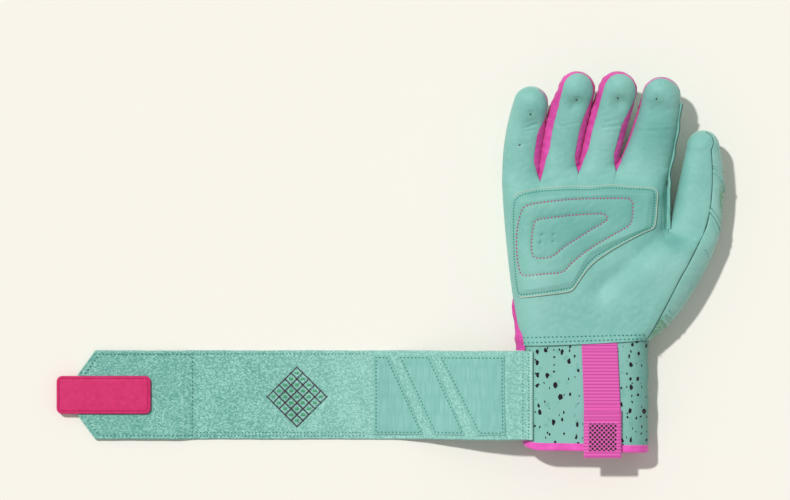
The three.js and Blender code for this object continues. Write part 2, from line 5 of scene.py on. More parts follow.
# %% Load the frame
import bpy
import numpy as np
from math import radians
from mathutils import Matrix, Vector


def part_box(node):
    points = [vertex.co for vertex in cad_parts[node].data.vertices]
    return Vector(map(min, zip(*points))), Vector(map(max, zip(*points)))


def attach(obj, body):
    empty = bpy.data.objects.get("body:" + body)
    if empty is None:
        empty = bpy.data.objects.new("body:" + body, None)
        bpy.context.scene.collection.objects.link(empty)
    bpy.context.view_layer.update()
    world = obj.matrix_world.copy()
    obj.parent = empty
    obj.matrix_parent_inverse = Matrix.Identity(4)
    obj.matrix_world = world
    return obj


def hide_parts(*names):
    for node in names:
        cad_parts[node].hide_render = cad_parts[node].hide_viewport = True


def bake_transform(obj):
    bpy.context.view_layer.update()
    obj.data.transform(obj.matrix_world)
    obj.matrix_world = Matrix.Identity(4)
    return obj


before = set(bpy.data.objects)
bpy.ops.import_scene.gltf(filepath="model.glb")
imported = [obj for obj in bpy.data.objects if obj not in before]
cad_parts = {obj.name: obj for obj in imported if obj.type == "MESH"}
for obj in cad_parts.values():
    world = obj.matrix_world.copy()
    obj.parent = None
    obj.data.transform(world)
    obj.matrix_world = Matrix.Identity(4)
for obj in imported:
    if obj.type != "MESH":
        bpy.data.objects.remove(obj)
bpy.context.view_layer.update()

# %% [markdown]
# The glove was worked out in millimetres round the middle of its wrist line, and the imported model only
# shifts it. The pull tab's webbing has a known place in both, so it gives that shift, and `place` carries
# any array of points from the maker's millimetres into the scene's metres.

# %% Millimetres to scene
WEBBING_RIGHT, WEBBING_TOP = 19.85, -0.3
webbing_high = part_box("pull_tab_webbing")[1]
ORIGIN = np.array([webbing_high[0] * 1000 - WEBBING_RIGHT, webbing_high[1] * 1000 - WEBBING_TOP, 0.0])


def place(points):
    """Scene position in metres: the point in millimetres plus the shift, over a thousand."""
    return (np.asarray(points, float) + ORIGIN) / 1000


print("shift in millimetres", ORIGIN.round(3))

# %% [markdown]
# A few small formulas do most of the shaping: a straight mix of two values, a smooth step that starts and
# ends level, a power that keeps its sign, the quarter-round rise of a stuffed edge, and a bell. Grids of
# points are worked out from a column and a row of even values.

# %% Shaping formulas
def mix(a, b, share):
    """a at share 0, b at share 1, straight between."""
    return a + (b - a) * share


def clamp01(value):
    """The value held between 0 and 1."""
    return np.clip(value, 0.0, 1.0)


def smooth(value):
    """Three times the square less twice the cube of the value, held between 0 and 1."""
    value = clamp01(value)
    return value * value * (3 - 2 * value)


def signed_power(value, power):
    """The size of the value raised to the power, with its own sign."""
    return np.sign(value) * np.abs(value) ** power


def roll_off(distance, radius):
    """Quarter circle: 0 on an edge and 1 from one radius inwards."""
    return np.sqrt(1 - (1 - clamp01(distance / radius)) ** 2)


def bell(distance, width):
    """e to the minus squared distance over squared width: 1 at no distance, near 0 from two widths on."""
    return np.exp(-(distance / width) ** 2)


def between(value, start, end, run):
    """1 between start and end, with a smooth step of the given run inside both."""
    return smooth((value - start) / run) * smooth((end - value) / run)


def rows_of(start, end, count):
    """Even values as a column: one for each row of a grid."""
    return np.linspace(start, end, count)[:, None]


def columns_of(start, end, count):
    """Even values as a row: one for each column of a grid."""
    return np.linspace(start, end, count)[None, :]


def grid_of(*parts):
    """Points or pairs from arrays that fit together, one for each part."""
    return np.stack(np.broadcast_arrays(*parts), -1)


def segment_distance(x, y, start, end):
    """Distance in plan from each point to the straight line between start and end."""
    line = np.subtract(end, start)
    length = max(float(line @ line), 1e-9)
    share = clamp01(((x - start[0]) * line[0] + (y - start[1]) * line[1]) / length)
    return np.hypot(x - start[0] - share * line[0], y - start[1] - share * line[1])


# %% [markdown]
# The hand is one soft shell. Every place on it has two shares: u goes across from the little finger's edge
# to the thumb's edge, v goes from the wrist to the finger roots. The plan point mixes the wrist's half
# circle with the line of finger roots, and the height is a rounded swell that turns into one arch for each
# finger.

# %% The hand's own map
PALM_WIDTH, PALM_LENGTH, WRIST_WIDTH, WRIST_HEIGHT, WRIST_SHIFT = 94.0, 98.0, 74.0, 26.0, 1.0
MIDDLE_HEIGHT, PALM_RISE, BACK_DROP = 15.0, 14.5, 16.0
PALM_ROLL, WRIST_ROLL, SIDE_ROLL = 17.0, 13.0, 11.0
ULNAR_BOW, THENAR_BOW = 1.6, 3.6
ARCH_START, ROUNDNESS = 0.87, 0.86
SEAM_GAP, LEATHER, STRETCH = 0.3, 0.9, 0.7
SIZE = np.array([PALM_WIDTH, PALM_LENGTH])
ROOTS = np.array([[-0.497, 0.955], [-0.268, 0.944], [-0.038, 0.990], [0.189, 1.0],
                  [0.509, 0.990], [0.509, 0.663], [0.812, 0.614]]) * SIZE
SPANS = np.linalg.norm(np.diff(ROOTS, axis=0), axis=1)
BREAKS = np.concatenate([[0.0], np.cumsum(SPANS)]) / SPANS.sum()
CROTCH_HEIGHTS = np.array([0.0, 7.0, 7.0, 7.0, 0.9, 2.6, 0.0])
PALM_CROTCH_HEIGHTS = np.array([0.0, 9.1, 9.3, 9.2, 0.9, 8.5, 0.0])
SIDE_SEGMENT = 4
STALL_THICKNESS = np.array([19.0, 19.6, 20.0, 21.0, 0.0, 23.0])
MOUNDS = [((0.40, 0.46), 2.4, 17), ((-0.24, 0.33), 1.2, 19), ((0.02, 0.44), -2.2, 20)]
CREASE_START, CREASE_END, CREASE_DEPTH, CREASE_WIDTH = (0.50, 0.66), (0.10, 0.32), 2.0, 6
CORNER_PINCH, PINCH_RUN = 2.6, 4
RAMP_HEIGHT, RAMP_SLOPE, RAMP_SHARE, RAMP_SHIFT, RAMP_WIDTH = 24.6, 0.62, 1.3, 3.5, 4.5


def segment_at(u):
    """The root segment that u falls in, and the share of the way along it."""
    segment = np.clip(np.searchsorted(BREAKS, u, side="left") - 1, 0, len(SPANS) - 1)
    return segment, clamp01((u - BREAKS[segment]) / (BREAKS[segment + 1] - BREAKS[segment]))


def root_place(u):
    """Plan point on the root line: a cosine step along each finger's segment, straight on the side."""
    segment, share = segment_at(u)
    stepped = (1 - signed_power(np.cos(np.pi * share), ROUNDNESS)) / 2
    along = np.where(segment == SIDE_SEGMENT, share, stepped)[..., None]
    return mix(ROOTS[segment], ROOTS[segment + 1], along)


def plan_point(u, v):
    """Wrist half circle mixed with the root line by v, plus a bow that is greatest halfway."""
    u, v = np.broadcast_arrays(np.asarray(u, float), np.asarray(v, float))
    wrist = grid_of(WRIST_SHIFT - WRIST_WIDTH / 2 * np.cos(np.pi * u), 0.0)
    point = mix(wrist, root_place(u), v[..., None])
    bow = 4 * v * (1 - v)
    point[..., 0] += bow * (THENAR_BOW * u ** 3 - ULNAR_BOW * (1 - u) ** 3)
    point[..., 1] -= bow * THENAR_BOW * u ** 3 / 2
    return point


def hand_shares(x, y, rounds=36):
    """u and v of plan points, by Newton's method: step against the error through the map's own slopes."""
    x, y = np.asarray(x, float), np.asarray(y, float)
    u, v = np.clip(0.42 + x / 110, 0.02, 0.98), np.clip(y / 95, 0.02, 0.98)
    h, least_area = 1e-4, 50
    for _ in range(rounds):
        miss = np.stack([x, y], -1) - plan_point(u, v)
        by_u = (plan_point(u + h, v) - plan_point(u - h, v)) / (2 * h)
        by_v = (plan_point(u, v + h) - plan_point(u, v - h)) / (2 * h)
        area = by_u[..., 0] * by_v[..., 1] - by_u[..., 1] * by_v[..., 0]
        area = np.where(np.abs(area) < least_area, np.sign(area) * least_area, area)
        step_u = (miss[..., 0] * by_v[..., 1] - miss[..., 1] * by_v[..., 0]) / area
        step_v = (by_u[..., 0] * miss[..., 1] - by_u[..., 1] * miss[..., 0]) / area
        u = clamp01(u + np.clip(step_u, -0.06, 0.06))
        v = clamp01(v + np.clip(step_v, -0.1, 0.1))
    return u, v


def mound(x, y, at, height, radius):
    """A bell-shaped rise: the height times e to the minus squared distance over squared radius."""
    return height * np.exp(-((x - at[0]) ** 2 + (y - at[1]) ** 2) / radius ** 2)


def palm_relief(x, y):
    """Mounds of the thumb and the heel, the hollow between them, and the crease beside the thumb."""
    crease = segment_distance(x, y, CREASE_START * SIZE, CREASE_END * SIZE)
    return (sum(mound(x, y, at * SIZE, height, radius) for at, height, radius in MOUNDS)
            - CREASE_DEPTH * bell(crease, CREASE_WIDTH))


def hand_point(u, v, side):
    """Plan point with its height: the middle level plus or minus the rounded swell, or near the roots the
    arch of each finger, which is a sine over its segment. An even ramp leads to the crotch of the thumb."""
    u, v = np.broadcast_arrays(np.asarray(u, float), np.asarray(v, float))
    plan = plan_point(u, v)
    x, y = plan[..., 0], plan[..., 1]
    blend = smooth(v / 0.5)
    roll = mix(WRIST_ROLL, PALM_ROLL, blend)
    to_ulnar = np.linalg.norm(plan - plan_point(0 * u, v), axis=-1)
    to_thumb = np.linalg.norm(plan - plan_point(0 * u + 1, v), axis=-1)
    corner = ROOTS[SIDE_SEGMENT + 1]
    to_side = segment_distance(x, y, ROOTS[SIDE_SEGMENT], corner)
    to_side = to_side * (1 + CORNER_PINCH * smooth((corner[1] - y) / PINCH_RUN))
    fullness = roll_off(to_ulnar, roll) * roll_off(to_thumb, roll) * roll_off(to_side, SIDE_ROLL)
    swell = mix(WRIST_HEIGHT / 2, PALM_RISE if side > 0 else BACK_DROP, blend) * fullness
    relief = palm_relief(x, y) * smooth(v / 0.33) * fullness if side > 0 else 0.0
    segment, share = segment_at(u)
    heights = PALM_CROTCH_HEIGHTS if side > 0 else CROTCH_HEIGHTS
    floor = mix(heights[segment], heights[segment + 1], share)
    arch = np.where(segment == SIDE_SEGMENT, 0.0,
                    (STALL_THICKNESS[segment] / 2 - floor) * np.sin(np.pi * share) ** ROUNDNESS)
    height = mix(swell + relief, floor + arch, smooth((v - ARCH_START) / (1 - ARCH_START)))
    z = mix(WRIST_HEIGHT / 2, MIDDLE_HEIGHT, blend) + side * (SEAM_GAP + height)
    if side > 0:
        z = mix(z, RAMP_HEIGHT + RAMP_SLOPE * (corner[1] - y),
                clamp01(mound(x, y, corner - [0, RAMP_SHIFT], RAMP_SHARE, RAMP_WIDTH)))
    return np.stack([x, y, np.maximum(0, z)], -1)


print("root line", SPANS.round(1), "middle of the palm", hand_point(0.5, 0.5, 1).round(1))

# %% [markdown]
# A stall is the tube that holds one finger. Its spine is a curve of three points, from the root over a
# steering point to the middle of the fingertip, and its section is a slightly squared oval. `turn` goes
# round the tip from the left side to the right side and `around` goes from the palm side to the back.

# %% The fingers' and the thumb's map
STALL_FIELDS = ("segment", "reach", "drift", "steer", "rise", "middle", "tip", "thick", "tip_thick")
STALLS = {name: dict(zip(STALL_FIELDS, row)) for name, *row in (
    ("little", 0, 44.0, 5.6, 0.2, 11, 21.8, 19.8, 19.0, 18.0),
    ("ring", 1, 50.2, 9.9, 1.6, 13, 21.9, 21.4, 19.6, 19.0),
    ("middle", 2, 46.9, 11.6, 4.6, 13, 21.6, 22.6, 20.0, 19.6),
    ("index", 3, 43.8, 10.7, 7.8, 11, 25.6, 22.2, 21.0, 19.4),
    ("thumb", 5, 50.0, 5.4, 5.8, 6, 26.4, 18.8, 23.0, 19.0))}
FRONT_SEAMS = {"little": [0.50, 0.50, 0.50, 0.42, 0.21], "ring": [0.23, 0.24, 0.48, 0.34, 0.24],
               "middle": [0.25, 0.24, 0.46, 0.37, 0.23], "index": [0.40, 0.41, 0.48, 0.50, 0.50],
               "thumb": [0.50, 0.50, 0.46, 0.13, 0.13]}
BACK_SEAMS = {"little": [0.50, 0.50, 0.54, 0.60, 0.62], "ring": [0.64, 0.64, 0.66, 0.62, 0.62],
              "middle": [0.64, 0.64, 0.66, 0.62, 0.62], "index": [0.64, 0.64, 0.62, 0.50, 0.50],
              "thumb": [0.50, 0.50, 0.46, 0.13, 0.13]}
SEAM_TURN, ROOT_TURN, ROOT_BLEND = 0.6, 0.25, 0.16


def through_three(values, t):
    """The parabola through three values at t = 0, one half and 1."""
    return values[0] * (1 - t) * (1 - 2 * t) + values[1] * 4 * t * (1 - t) + values[2] * t * (2 * t - 1)


def unit(vectors):
    """Vectors over their own lengths."""
    return vectors / np.maximum(np.linalg.norm(vectors, axis=-1, keepdims=True), 1e-9)


def root_ends(stall):
    """The two ends of the stall's piece of the root line."""
    return ROOTS[stall["segment"]], ROOTS[stall["segment"] + 1]


def stall_spine(stall, t):
    """The spine's point, and its forward, across and up directions, at t from root (0) to bulb (1)."""
    left, right = root_ends(stall)
    root = np.array([*(left + right) / 2, MIDDLE_HEIGHT])
    steer = root + [stall["steer"], stall["reach"] / 2, 0]
    bulb = root + [stall["drift"], stall["reach"], stall["rise"]]
    t = np.asarray(t, float)[..., None]
    early, late = mix(root, steer, t), mix(steer, bulb, t)
    forward = unit(late - early)
    across = unit(np.stack([forward[..., 1], -forward[..., 0], 0 * forward[..., 0]], -1))
    up = unit(np.cross(across, forward))
    root_across = unit(np.array([*(right - left), 0.0]))
    turned = unit(mix(root_across, across, smooth(t / ROOT_TURN)))
    return mix(early, late, t), forward, turned, up


def stall_point(stall, t, turn, around, inset=0.0):
    """Spine point plus the outward direction times a powered sine, plus up times a powered cosine."""
    t, turn, around = np.broadcast_arrays(np.asarray(t, float), turn, around)
    centre, forward, across, up = stall_spine(stall, t)
    angle = (np.pi * turn)[..., None]
    outward = -np.cos(angle) * across + np.sin(angle) * forward
    left, right = root_ends(stall)
    root_half = np.linalg.norm(right - left) / 2 - SEAM_GAP
    width = through_three([root_half, stall["middle"] / 2, stall["tip"] / 2], t) - inset
    height = through_three([stall["thick"] / 2, stall["thick"] / 2, stall["tip_thick"] / 2], t) - inset
    sideways = (width * np.sin(np.pi * around) ** ROUNDNESS)[..., None]
    upwards = (height * signed_power(np.cos(np.pi * around), ROUNDNESS))[..., None]
    return centre + outward * sideways + up * upwards


def outline_position(t, turn):
    """Position in the seam lists: 0 on the left side, 1 to 3 over the tip and 4 on the right side."""
    run = clamp01((t - SEAM_TURN) / (1 - SEAM_TURN))
    return np.where(t < 1, np.where(turn < 0.5, run, 4 - run), 1 + 2 * turn)


def seam_share(seams, t, turn):
    """The seam's place between the palm side (0) and the back (1), by smooth steps through its list."""
    position = outline_position(t, turn)
    index = np.minimum(3, np.floor(position).astype(int))
    values = np.array(seams)
    return mix(values[index], values[index + 1], smooth(position - index))


print("stalls", list(STALLS), "tip of the ring finger", stall_point(STALLS["ring"], 1.0, 0.5, 0.5).round(1))

# %% [markdown]
# A mesh made from a grid often has corners that fall on the same spot, as at the top of a fingertip. The
# builder welds such corners, leaves out a wall that a closed grid would get twice in one place, turns the
# squares that shrink into triangles, and checks with the sum of signed volumes that all faces look
# outwards. It also keeps each corner's rest position, in millimetres, so that grain stays put when a finger
# bends.

# %% From arrays to meshes
WELD, UP, TURN = 1e-7, np.array([0.0, 0.0, 1.0]), 2 * np.pi


def build_object(name, vertices, quads, uv, sharp=38.0):
    """Welded mesh with its UV map and its rest attribute, smooth but for edges over the sharp angle."""
    vertices, quads = place(vertices.reshape(-1, 3)), quads.reshape(-1, 4)
    keys = np.round(vertices / WELD).astype(np.int64)
    _, first, index = np.unique(keys, axis=0, return_index=True, return_inverse=True)
    index = index.reshape(-1)
    _, twin, times = np.unique(np.sort(index[quads], axis=1), axis=0, return_inverse=True, return_counts=True)
    quads = quads[times[twin.reshape(-1)] == 1]
    a, b, c, d = (vertices[quads[:, k]] for k in range(4))
    volume = np.einsum("ij,ij->", a, np.cross(b, c)) + np.einsum("ij,ij->", a, np.cross(c, d))
    if volume < 0:
        quads = quads[:, ::-1]
    corners = index[quads]
    same = corners == np.roll(corners, -1, axis=1)
    whole, pinched = quads[same.sum(1) == 0], same.sum(1) == 1
    triangles = quads[pinched][~same[pinched]].reshape(-1, 3)
    triangle_corners = np.sort(index[triangles], axis=1)
    triangles = triangles[(triangle_corners[:, 1:] != triangle_corners[:, :-1]).all(1)]
    loops = np.concatenate([whole.ravel(), triangles.ravel()])
    totals = np.concatenate([np.full(len(whole), 4), np.full(len(triangles), 3)])
    mesh = bpy.data.meshes.new(name)
    mesh.vertices.add(len(first))
    mesh.vertices.foreach_set("co", vertices[first].ravel())
    mesh.loops.add(len(loops))
    mesh.loops.foreach_set("vertex_index", index[loops].astype(np.int32))
    mesh.polygons.add(len(totals))
    mesh.polygons.foreach_set("loop_start", (np.cumsum(totals) - totals).astype(np.int32))
    mesh.update(calc_edges=True)
    layer = mesh.uv_layers.new(name="UVMap")
    layer.data.foreach_set("uv", uv.reshape(-1, 2)[loops].ravel().astype(np.float32))
    rest = mesh.attributes.new("rest", "FLOAT_VECTOR", "POINT")
    rest.data.foreach_set("vector", (vertices[first] * 1000 - ORIGIN).ravel())
    mesh.polygons.foreach_set("use_smooth", np.ones(len(totals), bool))
    mesh.set_sharp_from_angle(angle=radians(sharp))
    made = bpy.data.objects.new(name, mesh)
    bpy.context.scene.collection.objects.link(made)
    return made


def grid_quads(number):
    """Corner numbers of the squares between neighbouring rows and columns of a grid of numbers."""
    return np.stack([number[:-1, :-1], number[1:, :-1], number[1:, 1:], number[:-1, 1:]], -1).reshape(-1, 4)


def tube_quads(number):
    """Squares between neighbouring rings of corner numbers, where each ring is closed on itself."""
    turned = np.roll(number, -1, axis=1)
    return np.stack([number[:-1], turned[:-1], turned[1:], number[1:]], -1).reshape(-1, 4)


def run_along(points, axis=0):
    """Length along a line, or along one axis of a grid, up to each point."""
    return np.linalg.norm(np.diff(points, axis=axis, prepend=points.take([0], axis)), axis=-1).cumsum(axis)


def grid_normals(grid):
    """Unit normals: the cross product of the differences along the rows and along the columns."""
    return unit(np.cross(np.gradient(grid, axis=0), np.gradient(grid, axis=1)))


def shell_object(name, outer, inner, sharp=38.0):
    """Closed wall between two grids: both skins, and the rim along four edges. The UV map is in metres."""
    number = np.arange(outer[..., 0].size).reshape(outer.shape[:2])
    skin, back = grid_quads(number), number.size
    ring = np.concatenate([number[0], number[1:, -1], number[-1, -2::-1], number[-2:0:-1, 0]])
    following = np.roll(ring, -1)
    rim = np.stack([ring, following, following + back, ring + back], -1)
    uv = np.stack([run_along(outer, 1), run_along(outer, 0)], -1) / 1000
    return build_object(name, np.stack([outer, inner]), np.concatenate([skin, skin[:, ::-1] + back, rim]),
                        np.stack([uv, uv]), sharp)


def resample(points, pitch, closed=False, reach=0.2):
    """Points every pitch along a line through the given points, and the line's direction at each."""
    points = np.asarray(points, float)
    if closed:
        points = np.vstack([points, points[:1]])
    run = run_along(points)
    count = max(2, round(run[-1] / pitch) + (0 if closed else 1))
    stops = np.linspace(0, run[-1], count, endpoint=not closed)
    at, ahead, behind = (np.stack([np.interp(np.clip(stops + shift, 0, run[-1]), run, column)
                                   for column in points.T], -1) for shift in (0.0, reach, -reach))
    return at, unit(ahead - behind)


def smooth_outline(points, rounds=2, closed=True):
    """Corner cutting: every round puts new points a quarter and three quarters along each edge."""
    points = np.asarray(points, float)
    for _ in range(rounds):
        start, following = (points, np.roll(points, -1, axis=0)) if closed else (points[:-1], points[1:])
        cut = np.stack([mix(start, following, share) for share in (0.25, 0.75)], 1)
        cut = cut.reshape(-1, points.shape[1])
        points = cut if closed else np.vstack([points[:1], cut, points[-1:]])
    return points


STITCH_AROUND, STITCH_ALONG, STITCH_BOW, STITCH_TAPER = 6, 5, 1.3, 0.45


def stitch_object(name, centres, along, normals, length, radius, sink=0.0):
    """One small closed capsule for each stitch, bowed so that its two ends dive into the cloth. A direction
    may be one for all."""
    along, normals = (np.broadcast_to(one, centres.shape) for one in (along, normals))
    side = unit(np.cross(normals, along))
    lift = unit(np.cross(along, side))
    share = np.linspace(0, 1, STITCH_ALONG)
    turn = np.arange(STITCH_AROUND) / STITCH_AROUND * TURN
    girth = radius * np.sin(np.pi * share) ** STITCH_TAPER
    reach = (share - 0.5) * length
    bow = -STITCH_BOW * radius * (2 * share - 1) ** 2 - sink
    rings = (centres[:, None, None] + along[:, None, None] * reach[None, :, None, None]
             + lift[:, None, None] * (bow[:, None] + girth[:, None] * np.sin(turn))[None, ..., None]
             + side[:, None, None] * (girth[:, None] * np.cos(turn))[None, ..., None])
    pattern = tube_quads(np.arange(STITCH_ALONG * STITCH_AROUND).reshape(STITCH_ALONG, STITCH_AROUND))
    starts = np.arange(len(centres)) * STITCH_ALONG * STITCH_AROUND
    uv = np.broadcast_to(grid_of(share[:, None], turn) / 1000, rings.shape[:3] + (2,))
    return build_object(name, rings, pattern[None] + starts[:, None, None], uv, sharp=80.0)


print("mesh helpers ready")

# %% [markdown]
# Materials are made of nodes only. Each finish starts from the same shader, with its plain values on the
# shader's own sockets, and adds its pattern by short calls that give the output of one new node. Colours
# are written as they look on screen, and turned into the linear values that light works with.

# %% Material helpers
FINISHES = {}


def linear(colour):
    """Screen colour from 0 to 255 as a linear colour with alpha 1."""
    values = np.array(colour) / 255
    light = np.where(values <= 0.04045, values / 12.92, ((values + 0.055) / 1.055) ** 2.4)
    return (*light.tolist(), 1.0)


def add_node(tree, kind, inputs, output=0, **settings):
    """Output of a new node, whose inputs are each joined to another node's output or given a value."""
    made = tree.nodes.new("ShaderNode" + kind)
    for key, value in settings.items():
        setattr(made, key, value)
    for key, value in inputs.items():
        if isinstance(value, bpy.types.NodeSocket):
            tree.links.new(value, made.inputs[key])
        else:
            made.inputs[key].default_value = value
    return made.outputs[output]


class Finish:
    """A material with its shader. Its calls add one node each and give that node's output."""

    def __init__(self, name, roughness, sheen=0.0, sheen_roughness=0.5, specular=0.5, coat=0.0):
        """The material with its plain values, and the rest position that patterns are laid on."""
        self.material = FINISHES[name] = bpy.data.materials.new(name)
        self.material.use_nodes = True
        self.tree = self.material.node_tree
        self.shader = self.tree.nodes["Principled BSDF"]
        for socket, value in {"Roughness": roughness, "Specular IOR Level": specular, "Coat Weight": coat,
                              "Sheen Weight": sheen, "Sheen Roughness": sheen_roughness}.items():
            self.shader.inputs[socket].default_value = value
        self.rest = self.node("Attribute", {}, "Vector", attribute_name="rest")

    def node(self, kind, inputs, output=0, **settings):
        """Any other node."""
        return add_node(self.tree, kind, inputs, output, **settings)

    def split(self, vector):
        """The vector's three values."""
        return tuple(self.node("SeparateXYZ", {"Vector": vector}, 0).node.outputs)

    def noise(self, vector, scale, detail=2.0, roughness=0.5):
        """Cloudy noise, scale in clouds per unit of the vector."""
        return self.node("TexNoise", {"Vector": vector, "Scale": scale, "Detail": detail,
                                      "Roughness": roughness})

    def cells(self, vector, scale, randomness=1.0, **settings):
        """Cells round scattered points: the distance from each cell's point."""
        return self.node("TexVoronoi", {"Vector": vector, "Scale": scale, "Randomness": randomness},
                         **settings)

    def step(self, value, low, high, to_low=0.0, to_high=1.0):
        """Value carried from the range low..high to the range to_low..to_high, and held there."""
        return self.node("MapRange", {"Value": value, "From Min": low, "From Max": high, "To Min": to_low,
                                      "To Max": to_high})

    def blend(self, share, first, second):
        """First colour at share 0 and second colour at share 1."""
        return self.node("Mix", {0: share, 6: first, 7: second}, 2, data_type="RGBA")

    def sums(self, operation, *values):
        """One sum of up to three values."""
        return self.node("Math", dict(enumerate(values)), operation=operation)

    def ripple(self, value, repeats, shift=0.0):
        """Sine of the value times its repeats, carried to the range 0 to 1."""
        angle = self.sums("MULTIPLY_ADD", value, repeats * 2 * np.pi, shift)
        return self.step(self.sums("SINE", angle), -1.0, 1.0)

    def close(self, colour, height, millimetres, strength):
        """Joins the colour, and the height as bumps of so many millimetres, to the shader."""
        self.tree.links.new(colour, self.shader.inputs["Base Color"])
        normal = self.node("Bump", {"Height": height, "Distance": millimetres / 1000, "Strength": strength})
        self.tree.links.new(normal, self.shader.inputs["Normal"])
        return self

    def print_over(self, share, colour):
        """Prints a colour over the finish, where the share is 1."""
        plain = self.shader.inputs["Base Color"].links[0].from_socket
        self.tree.links.new(self.blend(share, plain, linear(colour)), self.shader.inputs["Base Color"])


# %% [markdown]
# Batting gloves are cut from thin sheepskin. It is nearly one colour, with soft clouds where the hide takes
# the dye differently, a pebble grain under a millimetre wide, and a low satin shine that breaks up in the
# grain.

# %% Leather
# Shares of the deep colour that give the colour of the painted shade.
PAINTED_SHADE_SCALE = (0.62, 0.81, 0.80, 1.0)


def leather_finish(name, *colours, roughness=0.52):
    """Clouded colour, pebble grain from cells, and fine pores; the grain also roughens the shine. Where the
    point value of painted light and shade is above 0 the leather gets painted shade, and below 0 painted
    light."""
    made = Finish(name, roughness, sheen=0.08, specular=0.42)
    body, deep, pale = map(linear, colours)
    clouds = made.step(made.noise(made.rest, 0.045, 4.0, 0.55), 0.36, 0.66)
    mottle = made.step(made.noise(made.rest, 0.35, 3.0, 0.6), 0.45, 0.75, 0.0, 0.45)
    colour = made.blend(mottle, made.blend(clouds, deep, body), pale)
    pebble = made.step(made.cells(made.rest, 1.5, feature="DISTANCE_TO_EDGE"), 0.0, 0.28)
    colour = made.blend(made.step(pebble, 0.0, 0.5, 0.16, 0.0), colour, deep)
    # Painted shade where the points' value is above 0, painted light where it is below 0.
    light_and_shade = made.node("Attribute", {}, "Fac", attribute_name="light_and_shade")
    painted_shade_colour = tuple(value * share for value, share in zip(deep, PAINTED_SHADE_SCALE))
    darker = made.blend(made.step(light_and_shade, 0.0, 1.0), colour, painted_shade_colour)
    colour = made.blend(made.step(made.sums("MULTIPLY", light_and_shade, -1.0), 0.0, 1.0), darker, pale)
    made.tree.links.new(made.step(pebble, 0.0, 1.0, roughness + 0.14, roughness - 0.04),
                        made.shader.inputs["Roughness"])
    pores = made.sums("MULTIPLY", made.noise(made.rest, 4.5, 2.0, 0.6), 0.3)
    return made.close(colour, made.sums("ADD", made.sums("MULTIPLY", pebble, 0.7), pores), 0.07, 0.55)


leather_finish("palm_leather", (136, 196, 186), (122, 186, 175), (148, 204, 194))
leather_finish("pad_leather", (131, 192, 181), (117, 182, 170), (142, 199, 189))
leather_finish("cut_edge", (196, 214, 196), (170, 196, 178), (214, 222, 206), roughness=0.7)
# The back leather is paler than the palm's, partly as painted light on the thumb's outer side, which curves
# away from the lamp.
back = leather_finish("back_leather", (150, 207, 197), (132, 192, 181), (164, 216, 207))
flecks = back.step(back.noise(back.rest, 0.9, 3.0, 0.62), 0.40, 0.56)
fields = back.node("Attribute", {}, "Fac", attribute_name="print")
back.print_over(back.sums("MULTIPLY", flecks, fields), (104, 158, 112))
print("leather finishes", list(FINISHES))

# %% [markdown]
# The pink parts are knitted to stretch. A knit is rows of small loops, so its bump multiplies one fine wave
# along the cloth with another across it. The pink has a soft sheen, because its fibres catch light at the
# edge. The webbing has ribs, and its loop carries a printed square of staggered dots: two crossed waves,
# cut off.

# %% Pink knit, pink binding and pink webbing
def knit_finish(name, colour, deep_colour, repeats, sheen):
    """Colour that darkens between the loops, with loops as two crossed waves of the given repeats a metre."""
    made = Finish(name, 0.72, sheen=sheen, sheen_roughness=0.4, specular=0.3)
    along, across, _ = made.split(made.node("UVMap", {}, uv_map="UVMap"))
    loops = made.sums("MULTIPLY", made.ripple(along, repeats), made.ripple(across, repeats * 0.7))
    clouds = made.step(made.noise(made.rest, 0.12, 3.0), 0.4, 0.65)
    base = made.blend(clouds, linear(deep_colour), linear(colour))
    between_loops = made.step(loops, 0.0, 0.5, 0.3, 0.0)
    return made.close(made.blend(between_loops, base, linear(deep_colour)), loops, 0.12, 0.6)


def ribbed_finish(name, colour, deep_colour, pitch):
    """Webbing: painted shade darkens the valleys between ribs, with fine upright yarns over each rib."""
    made = Finish(name, 0.6, sheen=0.3, sheen_roughness=0.4, specular=0.3)
    x, y, _ = made.split(made.rest)
    ribs = made.ripple(y, 1 / pitch, -np.pi / 2)
    yarns = made.ripple(made.sums("ADD", x, made.sums("MULTIPLY", y, 0.12)), 1.45)
    depth = made.sums("ADD", made.step(ribs, 0.0, 0.45), made.sums("MULTIPLY", yarns, 0.25))
    # Painted shade: the colour is darker the deeper the valley.
    colour = made.blend(made.step(depth, 0.0, 1.1), linear(deep_colour), linear(colour))
    return made.close(colour, depth, 0.2, 0.7)


WEBBING_RIB, DOT_PITCH, PRINT_HALF, PRINT_X, PRINT_Y = 1.85, 2.6, 7.9, 10.2, -52.0
knit_finish("pink_stretch", (232, 92, 184), (212, 72, 160), 1800, 0.25)
knit_finish("pink_binding", (247, 104, 203), (234, 86, 186), 1500, 0.35)
knit_finish("lining_knit", (206, 228, 222), (178, 206, 199), 900, 0.15)
knit_finish("pad_foam", (216, 220, 214), (190, 196, 190), 700, 0.0)
ribbed_finish("pink_webbing", (230, 98, 184), (206, 72, 158), WEBBING_RIB)
dotted = ribbed_finish("dotted_webbing", (230, 98, 184), (206, 72, 158), WEBBING_RIB)
x, y, _ = dotted.split(dotted.rest)
waves = [dotted.ripple(dotted.sums(way, x, y), 1 / DOT_PITCH) for way in ("ADD", "SUBTRACT")]
dots = dotted.step(dotted.sums("MULTIPLY", *waves), 0.10, 0.17)
for value, middle in ((x, PRINT_X), (y, PRINT_Y)):
    away = dotted.sums("ABSOLUTE", dotted.sums("SUBTRACT", value, middle))
    dots = dotted.sums("MULTIPLY", dots, dotted.sums("LESS_THAN", away, PRINT_HALF))
dotted.print_over(dots, (30, 14, 26))

# %% [markdown]
# The cuff is a printed stretch fabric: a pale mint ground with fine heather, cloudy teal spots, and
# scattered near-black chips of many sizes. Cells with a random colour decide which place gets a chip and
# how large it is, and a noise pushes the cells about so that the chips come out angular.

